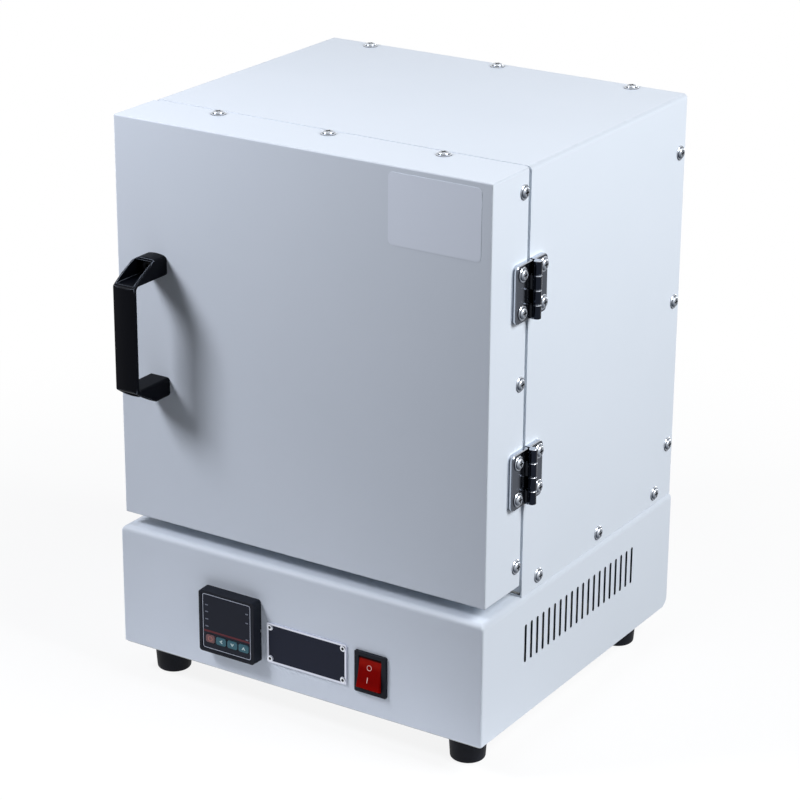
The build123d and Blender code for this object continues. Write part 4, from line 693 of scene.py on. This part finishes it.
low, high = (Vector(corner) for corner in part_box("controller_window"))
window_x, window_z = (low.x + high.x) / 2, (low.z + high.z) / 2
window_width, window_height = (high.x - low.x) / MM, (high.z - low.z) / MM
window_front = low.y
line_size = [side - 2 * frame_line_inset for side in (window_width, window_height)]
line_inside = [side - 2 * frame_line_width for side in line_size]
outside_corner, inside_corner = frame_line_corners
frame_line = [rounded(*line_size, outside_corner), rounded(*line_inside, inside_corner)]
red_line = [bar(0, -red_line_drop, line_inside[0] - red_line_short, red_line_width)]
ticks = [[bar(left_tick_share * window_width, z, *left_tick_size)] for z in left_tick_heights]
ticks += [[bar(right_tick_share * window_width, z, *right_tick_size)] for z in right_tick_heights]
for name, groups, colour in (
    ("window_frame_line", [frame_line], ink_pale),
    ("window_red_line", [red_line], ink_red),
    ("window_ticks", ticks, ink_tick),
):
    print_mesh = flat_mesh(name, groups, ink_thick)
    print_place = (window_x, window_front - ink_thick / 2, window_z)
    ink = printed_ink(name + "_ink", colour)
    add_piece(name, print_mesh, ink, "case", print_place)


# Controller board: a green epoxy board with its solder mask over copper, seen only when the
# controller is taken apart.
mask_colour = "#1E5A36"
mask_light = "#2C7446"
track_spacing = 1.27 * MM
track_gap = 0.08
track_relief = 0.03 * MM
# The height of one row of the brick pattern at a scale of 1
brick_row = 0.25

solder_mask, tree, shader = new_finish("green_solder_mask", mask_colour, roughness=0.3, ior=1.55)
here = add(tree, "ShaderNodeTexCoord").outputs["Object"]
rows = {"Vector": here, "Scale": brick_row / track_spacing, "Mortar Size": track_gap}
tracks = add(tree, "ShaderNodeTexBrick", rows)
blend_colour(tree, shader, tracks.outputs["Fac"], mask_colour, mask_light)
raise_skin(tree, shader, tracks.outputs["Fac"], strength=0.5, depth=track_relief)
dress(solder_mask, "controller_board")


# Controller keys: four small domed keys that stand in the window, capped with printed film, one
# red-brown and three teal, each with a pale sign: a ring on the first and arrows on the others.
key_red = "#765354"
key_teal = "#386570"
sign_pale = "#C3D6D2"
sign_rose = "#B9776A"
key_wave_size = 1.6 * MM
key_wave_depth = 0.02 * MM
# The signs in millimetres; the arrow's tip and feet are shares of its reach, its cuts of its line.
ring_outside = 1.9
ring_inside = 1.45
sign_reach = 1.6
sign_line = 0.85
arrow_tip = 0.8
arrow_foot = 0.6
arrow_toe = 0.4
arrow_notch = 1.9


def key_film(name, colour):
    """Printed key film: glossy, with a faintly uneven print."""
    film, tree, shader = new_finish(name, colour, roughness=0.28, ior=1.58, gloss=0.2)
    here = add(tree, "ShaderNodeTexCoord").outputs["Object"]
    wave = add(tree, "ShaderNodeTexNoise", {"Vector": here, "Scale": 1 / key_wave_size, "Detail": 2.0})
    vary_gloss(tree, shader, wave.outputs["Fac"], start=0.22, end=0.36)
    raise_skin(tree, shader, wave.outputs["Fac"], strength=0.3, depth=key_wave_depth)
    return film


def chevron(turn):
    """An arrow without a shaft, pointing up before it is turned."""
    reach, line = sign_reach, sign_line
    tip, foot = reach * arrow_tip, -reach * arrow_foot
    toe = foot - line * arrow_toe
    points = [(0, tip), (reach, foot), (reach - line, toe)]
    points += [(0, tip - arrow_notch * line), (line - reach, toe), (-reach, foot)]
    cos, sin = math.cos(math.radians(turn)), math.sin(math.radians(turn))
    return [(x * cos - z * sin, x * sin + z * cos) for x, z in points]


red_film = key_film("red_key_film", key_red)
teal_film = key_film("teal_key_film", key_teal)
rose_ink = printed_ink("rose_sign_ink", sign_rose)
pale_ink = printed_ink("pale_sign_ink", sign_pale)
key_signs = {
    "key_set": (red_film, rose_ink, "key_red", [ring(ring_outside), ring(ring_inside)]),
    "key_shift": (teal_film, pale_ink, "key_teal", [chevron(90)]),
    "key_down": (teal_film, pale_ink, "key_teal", [chevron(180)]),
    "key_up": (teal_film, pale_ink, "key_teal", [chevron(0)]),
}
for key, (film, ink, slot, loops) in key_signs.items():
    dress(film, key)
    low, high = (Vector(corner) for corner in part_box(key))
    sign = flat_mesh(key + "_sign", [loops], ink_thick)
    place = lay_on(key, sign, (low.x + high.x) / 2, (low.z + high.z) / 2)
    add_piece(key + "_sign", sign, ink, key + "_cap", place)


# Rocker: red translucent polycarbonate, moulded and glossy, with the two signs for off and on
# filled in pale pink. Bands up its length are painted light and shade: a painted highlight on the
# lower edge and across the upper face, and a painted shadow at the top, under the frame.
rocker_colour = "#8A0502"
rocker_deep = "#660302"
rocker_flow_size = 8 * MM
rocker_deep_share = 0.3
# Painted highlights and shadow, from the rocker's lower end, 0, to its upper end, 1
rocker_painted_light_bands = (
    (0.0, "#A8281E"),
    (0.04, "#960A05"),
    (0.3, "#840302"),
    (0.66, "#8C0402"),
    (0.8, "#A5190F"),
    (0.92, "#A5190F"),
    (0.95, "#2A0605"),
)
sign_pink = "#F0BDB6"
# The signs' sizes and places in millimetres
off_sign_outside = 2.0
off_sign_inside = 1.55
on_sign_width = 0.55
on_sign_height = 3.9
off_sign_left = 0.4
off_sign_up = 4.9
on_sign_left = 0.9
on_sign_drop = 3.8

low, high = (Vector(corner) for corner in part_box("switch_rocker"))
red_polycarbonate, tree, shader = new_finish(
    "red_polycarbonate", rocker_colour, roughness=0.16, ior=1.585, gloss=0.02
)
here = add(tree, "ShaderNodeTexCoord").outputs["Object"]
height = add(tree, "ShaderNodeSeparateXYZ", {0: here}).outputs["Z"]
along = add(tree, "ShaderNodeMapRange", {"Value": height, "From Min": low.z, "From Max": high.z})
band = add(tree, "ShaderNodeValToRGB", {"Fac": along.outputs[0]})
set_stops(band, rocker_painted_light_bands)
flow = add(tree, "ShaderNodeTexNoise", {"Vector": here, "Scale": 1 / rocker_flow_size, "Detail": 2.0})
deepen = {"Value": flow.outputs["Fac"], "To Min": 0.0, "To Max": rocker_deep_share}
deepen = add(tree, "ShaderNodeMapRange", deepen)
blend_colour(tree, shader, deepen.outputs[0], band.outputs[0], rocker_deep)
vary_gloss(tree, shader, flow.outputs["Fac"], start=0.12, end=0.22)
dress(red_polycarbonate, "switch_rocker")

low, high = (Vector(corner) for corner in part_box("switch_housing"))
switch_x, switch_z = (low.x + high.x) / 2, (low.z + high.z) / 2
pink_ink = printed_ink("pink_sign_ink", sign_pink)
for name, loops, left, up in (
    ("rocker_off_sign", [ring(off_sign_outside), ring(off_sign_inside)], off_sign_left, off_sign_up),
    ("rocker_on_sign", [bar(0, 0, on_sign_width, on_sign_height)], on_sign_left, -on_sign_drop),
):
    sign = flat_mesh(name, [loops], ink_thick)
    place = lay_on("switch_rocker", sign, switch_x - left * MM, switch_z + up * MM)
    add_piece(name, sign, pink_ink, "rocker", place)


# Nameplate: a stamped aluminium plate on four blind rivets. The raised border and the four pads
# are bare satin metal, and the field inside is filled with plain dark enamel.
plate_colour = "#CDD1DE"
rivet_colour = "#DFE3EB"
rivet_painted_bore_shade = "#1A1E29"
enamel_colour = "#1B2030"
bore_reach = 1.6 * MM
# How open a spot is where the painted shade of the bore is full, and where it ends
bore_dark = 0.55
bore_light = 0.85
border_height = 0.25 * MM
enamel_thick = 0.12 * MM
enamel_flow_size = 2.2 * MM
enamel_flow_depth = 0.01 * MM
# The real brushing is finer, so it is drawn as coarse as it needs to show.
brush_spacing = 0.35 * MM
brush_stretch = 0.04
brush_depth = 0.01 * MM
# The enamel's outline in millimetres: it stops at the border and goes round the pads.
border_width = 1.5
pad_radius = 2.4
rivet_head_radius = 1.9
bite_steps = 12

satin_aluminium, tree, shader = new_finish(
    "satin_anodised_aluminium", plate_colour, roughness=0.34, metallic=1.0
)
here = add(tree, "ShaderNodeTexCoord").outputs["Object"]
stretch = add(tree, "ShaderNodeMapping", {"Vector": here, "Scale": (brush_stretch, 1, 1)})
lines = {"Vector": stretch.outputs[0], "Scale": 1 / brush_spacing, "Detail": 2.0}
brush = add(tree, "ShaderNodeTexNoise", lines)
vary_gloss(tree, shader, brush.outputs["Fac"], start=0.28, end=0.46)
raise_skin(tree, shader, brush.outputs["Fac"], strength=0.3, depth=brush_depth)
dress(satin_aluminium, "nameplate")

rivet_head, tree, shader = new_finish("drawn_rivet_head", rivet_colour, roughness=0.3, metallic=1.0)
# The bores of the rivets get a painted shade where little light reaches.
hollow = add(tree, "ShaderNodeAmbientOcclusion", {"Distance": bore_reach}).outputs["AO"]
ends = {"Value": hollow, "From Min": bore_dark, "From Max": bore_light}
open_share = add(tree, "ShaderNodeMapRange", ends)
blend_colour(tree, shader, open_share.outputs[0], rivet_painted_bore_shade, rivet_colour)
dress(rivet_head, "nameplate_rivets")

dark_enamel, tree, shader = new_finish(
    "dark_stoved_enamel", enamel_colour, roughness=0.32, ior=1.52, gloss=0.12
)
here = add(tree, "ShaderNodeTexCoord").outputs["Object"]
flow = add(tree, "ShaderNodeTexNoise", {"Vector": here, "Scale": 1 / enamel_flow_size, "Detail": 3.0})
vary_gloss(tree, shader, flow.outputs["Fac"], start=0.26, end=0.40)
raise_skin(tree, shader, flow.outputs["Fac"], strength=0.4, depth=enamel_flow_depth)

low, high = (Vector(corner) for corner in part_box("nameplate"))
rivet_low, rivet_high = (Vector(corner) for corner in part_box("nameplate_rivets"))
plate_x, plate_z = (low.x + high.x) / 2, (low.z + high.z) / 2
half_x = (high.x - low.x) / MM / 2 - border_width
half_z = (high.z - low.z) / MM / 2 - border_width
rivet_x = (rivet_high.x - rivet_low.x) / MM / 2 - rivet_head_radius
rivet_z = (rivet_high.z - rivet_low.z) / MM / 2 - rivet_head_radius
enamel_field = []
for sx, sz in ((1, 1), (-1, 1), (-1, -1), (1, -1)):
    dx, dz = half_x - rivet_x, half_z - rivet_z
    start = math.atan2(dz, -math.sqrt(pad_radius**2 - dz**2))
    stop = math.atan2(-math.sqrt(pad_radius**2 - dx**2), dx)
    if stop < 0:
        stop += 2 * math.pi
    bite = []
    for step in range(bite_steps + 1):
        angle = start + (stop - start) * step / bite_steps
        x, z = rivet_x + pad_radius * math.cos(angle), rivet_z + pad_radius * math.sin(angle)
        bite.append((sx * x, sz * z))
    enamel_field += bite if sx * sz < 0 else bite[::-1]
plate_face = low.y + border_height
enamel_place = (plate_x, plate_face - enamel_thick / 2, plate_z)
enamel = flat_mesh("nameplate_enamel", [[enamel_field]], enamel_thick)
add_piece("nameplate_enamel", enamel, dark_enamel, "case", enamel_place)


# Lining: vacuum-formed ceramic fibre board, cut to slabs. The surface is chalky and off-white,
# with short matted fibres and a few darker specks of shot.
fibre_colour = "#E6E1D6"
fibre_shade = "#CFC8B9"
shot_colour = "#A39C8D"
fibre_size = 2.2 * MM
fibre_relief = 0.25 * MM
shot_spacing = 3.5 * MM
shot_core = 0.05
shot_rim = 0.12

fibre_board, tree, shader = new_finish("ceramic_fibre_board", fibre_colour, roughness=0.92, ior=1.45)
here = add(tree, "ShaderNodeTexCoord").outputs["Object"]
mat = {"Vector": here, "Scale": 1 / fibre_size, "Detail": 8.0, "Roughness": 0.65, "Distortion": 1.5}
fibres = add(tree, "ShaderNodeTexNoise", mat)
tint = {"Factor": fibres.outputs["Fac"], 6: linear(fibre_shade), 7: linear(fibre_colour)}
tone = add(tree, "ShaderNodeMix", tint, data_type="RGBA")
shot = add(tree, "ShaderNodeTexVoronoi", {"Vector": here, "Scale": 1 / shot_spacing})
speck = {"Value": shot.outputs["Distance"], "From Min": shot_core, "From Max": shot_rim}
speck.update({"To Min": 1.0, "To Max": 0.0})
dots = add(tree, "ShaderNodeMapRange", speck)
blend_colour(tree, shader, dots.outputs[0], tone.outputs[2], shot_colour)
raise_skin(tree, shader, fibres.outputs["Fac"], strength=0.8, depth=fibre_relief)
dress(
    fibre_board,
    "chamber_left_wall",
    "chamber_right_wall",
    "chamber_floor",
    "chamber_roof",
    "chamber_back_wall",
    "door_insulation",
    "door_plug",
)


# Heating elements: iron-chromium-aluminium wire wound into long coils, laid in the grooves of the
# walls and the floor, and oxidised dark grey by its first firing.
wire_colour = "#56514D"
wire_dark = "#35312F"
wire_radius = 0.75 * MM
turn_pitch = 3.4 * MM
turn_steps = 14
wire_sides = 6
coil_radius = 6.3 * MM
coil_rows = 4
lead_in = 2.0 * MM
scale_size = 1.5 * MM
scale_relief = 0.05 * MM

oxidised_wire, tree, shader = new_finish(
    "oxidised_element_wire", wire_colour, roughness=0.58, metallic=0.7
)
here = add(tree, "ShaderNodeTexCoord").outputs["Object"]
scale = add(tree, "ShaderNodeTexNoise", {"Vector": here, "Scale": 1 / scale_size, "Detail": 4.0})
blend_colour(tree, shader, scale.outputs["Fac"], wire_dark, wire_colour)
raise_skin(tree, shader, scale.outputs["Fac"], strength=0.5, depth=scale_relief)
dress(oxidised_wire, "element_studs")


def tube_mesh(name, paths, radius, sides):
    """Round bars swept along paths of points, closed at both ends."""
    corners, faces = [], []
    for path in paths:
        side = Vector((1, 0, 0))
        first = len(corners)
        for i, point in enumerate(path):
            way = (path[min(i + 1, len(path) - 1)] - path[max(i - 1, 0)]).normalized()
            side = (side - way * side.dot(way)).normalized()
            up = way.cross(side)
            for j in range(sides):
                angle = 2 * math.pi * j / sides
                corners.append(point + radius * (math.cos(angle) * side + math.sin(angle) * up))
        for i in range(len(path) - 1):
            for j in range(sides):
                a, b = first + i * sides + j, first + i * sides + (j + 1) % sides
                faces.append((a, b, b + sides, a + sides))
        last = first + (len(path) - 1) * sides
        faces.append(tuple(range(first, first + sides))[::-1])
        faces.append(tuple(range(last, last + sides)))
    mesh = bpy.data.meshes.new(name)
    mesh.from_pydata(corners, [], faces)
    mesh.polygons.foreach_set("use_smooth", [len(face) == 4 for face in faces])
    return mesh


def element_path(centres, front, back, winding_radius):
    """One wire: coils wound forward and back along the centres, with straight links between."""
    path = [Vector((centres[0].x, back, centres[0].z))]
    turns = round((back - front) / turn_pitch)
    for i, centre in enumerate(centres):
        onward = centres[min(i + 1, len(centres) - 1)] - centre
        inward = centre - centres[max(i - 1, 0)]
        away = onward if i < len(centres) - 1 else inward
        lead = math.atan2(away.z, away.x)
        begin, end = (back, front) if i % 2 == 0 else (front, back)
        steps = turns * turn_steps + turn_steps // 2
        for step in range(steps + 1):
            share = step / steps
            angle = lead + math.pi + math.pi * 2 * (turns + 0.5) * share
            round_x, round_z = winding_radius * math.cos(angle), winding_radius * math.sin(angle)
            along = begin + (end - begin) * share
            path.append(Vector((centre.x + round_x, along, centre.z + round_z)))
    path.append(Vector((centres[-1].x, back, centres[-1].z)))
    return path


def row_places(start, stop):
    """Where the rows of a coil lie between its two outer faces."""
    room = stop - start - 2 * coil_radius
    return [start + coil_radius + room * i / (coil_rows - 1) for i in range(coil_rows)]


low, high = (Vector(corner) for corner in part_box("wall_heating_coils"))
front, back = low.y + lead_in, high.y - lead_in
winding_radius = coil_radius - wire_radius
wall_paths = []
for x in (low.x + coil_radius, high.x - coil_radius):
    centres = [Vector((x, 0, z)) for z in row_places(low.z, high.z)]
    wall_paths.append(element_path(centres, front, back, winding_radius))
wall_coils = add_piece(
    "wall_element_wire",
    tube_mesh("wall_element_wire", wall_paths, wire_radius, wire_sides),
    oxidised_wire,
    "case",
)
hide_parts("wall_heating_coils")
low, high = (Vector(corner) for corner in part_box("floor_heating_coil"))
floor_z = high.z - coil_radius
centres = [Vector((x, 0, floor_z)) for x in row_places(low.x, high.x)]
floor_path = element_path(centres, front, back, winding_radius)
floor_coils = add_piece(
    "floor_element_wire",
    tube_mesh("floor_element_wire", [floor_path], wire_radius, wire_sides),
    oxidised_wire,
    "case",
)
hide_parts("floor_heating_coil")


# Floor tile: a pierced cordierite tile, pressed and fired, warm sand in colour with dark grog.
tile_colour = "#D6C6A4"
tile_shade = "#BCA883"
grog_size = 1.4 * MM
grog_relief = 0.12 * MM

fired_cordierite, tree, shader = new_finish("fired_cordierite", tile_colour, roughness=0.85)
here = add(tree, "ShaderNodeTexCoord").outputs["Object"]
mix = {"Vector": here, "Scale": 1 / grog_size, "Detail": 6.0, "Roughness": 0.7}
grog = add(tree, "ShaderNodeTexNoise", mix)
blend_colour(tree, shader, grog.outputs["Fac"], tile_shade, tile_colour)
raise_skin(tree, shader, grog.outputs["Fac"], strength=0.7, depth=grog_relief)
dress(fired_cordierite, "honeycomb_tile")


# Thermocouple sheath and stud bushes: sintered alumina, smooth and cream-white.
alumina_colour = "#ECE8DE"
fired_size = 4 * MM

sintered_alumina, tree, shader = new_finish("sintered_alumina", alumina_colour, roughness=0.4, ior=1.76)
here = add(tree, "ShaderNodeTexCoord").outputs["Object"]
fired = add(tree, "ShaderNodeTexNoise", {"Vector": here, "Scale": 1 / fired_size, "Detail": 4.0})
vary_gloss(tree, shader, fired.outputs["Fac"], start=0.34, end=0.52)
dress(sintered_alumina, "thermocouple", "stud_bushes")


# Door magnets: flat ferrite-backed catches in a nickel-plated shell, cold grey and slightly worn.
magnet_colour = "#8B8E92"
wear_size = 3 * MM

nickel_shell, tree, shader = new_finish(
    "plated_magnet_shell", magnet_colour, roughness=0.36, metallic=1.0
)
here = add(tree, "ShaderNodeTexCoord").outputs["Object"]
wear = add(tree, "ShaderNodeTexNoise", {"Vector": here, "Scale": 1 / wear_size, "Detail": 5.0})
vary_gloss(tree, shader, wear.outputs["Fac"], start=0.26, end=0.48)
dress(nickel_shell, "door_magnets")


# Electrics in the base: an extruded heat sink, a potted relay, a moulded terminal strip, tinned
# switch tabs and leads in a woven sleeve. They show only through the vents.
extruded_colour = "#B5B8BC"
relay_colour = "#D8D5CB"
strip_colour = "#CFC9B6"
tinned_colour = "#B8AE92"
sleeve_colour = "#B8B1A0"
sleeve_shade = "#948C7B"
drawn_size = 0.6 * MM
drawn_stretch = 0.03
moulding_grain = 0.7 * MM
moulding_depth = 0.02 * MM
rolled_size = 1 * MM
weave_size = 0.8 * MM
weave_relief = 0.08 * MM

extruded_aluminium, tree, shader = new_finish(
    "extruded_aluminium", extruded_colour, roughness=0.4, metallic=1.0
)
here = add(tree, "ShaderNodeTexCoord").outputs["Object"]
stretch = add(tree, "ShaderNodeMapping", {"Vector": here, "Scale": (1, drawn_stretch, 1)})
lines = {"Vector": stretch.outputs[0], "Scale": 1 / drawn_size, "Detail": 2.0}
drawn = add(tree, "ShaderNodeTexNoise", lines)
vary_gloss(tree, shader, drawn.outputs["Fac"], start=0.32, end=0.52)
dress(extruded_aluminium, "relay_heat_sink")

for name, colour, roughness, node in (
    ("potted_relay_case", relay_colour, 0.5, "solid_state_relay"),
    ("moulded_terminal_strip", strip_colour, 0.55, "terminal_block"),
):
    moulding, tree, shader = new_finish(name, colour, roughness)
    here = add(tree, "ShaderNodeTexCoord").outputs["Object"]
    grain = add(tree, "ShaderNodeTexNoise", {"Vector": here, "Scale": 1 / moulding_grain, "Detail": 2.0})
    raise_skin(tree, shader, grain.outputs["Fac"], strength=0.4, depth=moulding_depth)
    dress(moulding, node)

tinned_brass, tree, shader = new_finish("tinned_brass", tinned_colour, roughness=0.36, metallic=1.0)
here = add(tree, "ShaderNodeTexCoord").outputs["Object"]
rolled = add(tree, "ShaderNodeTexNoise", {"Vector": here, "Scale": 1 / rolled_size, "Detail": 3.0})
vary_gloss(tree, shader, rolled.outputs["Fac"], start=0.28, end=0.46)
dress(tinned_brass, "switch_tabs")

woven_sleeve, tree, shader = new_finish("woven_glass_sleeve", sleeve_colour, roughness=0.8)
here = add(tree, "ShaderNodeTexCoord").outputs["Object"]
weave = add(tree, "ShaderNodeTexChecker", {"Vector": here, "Scale": 1 / weave_size})
blend_colour(tree, shader, weave.outputs["Fac"], sleeve_shade, sleeve_colour)
raise_skin(tree, shader, weave.outputs["Fac"], strength=0.5, depth=weave_relief)
dress(woven_sleeve, "internal_wiring")
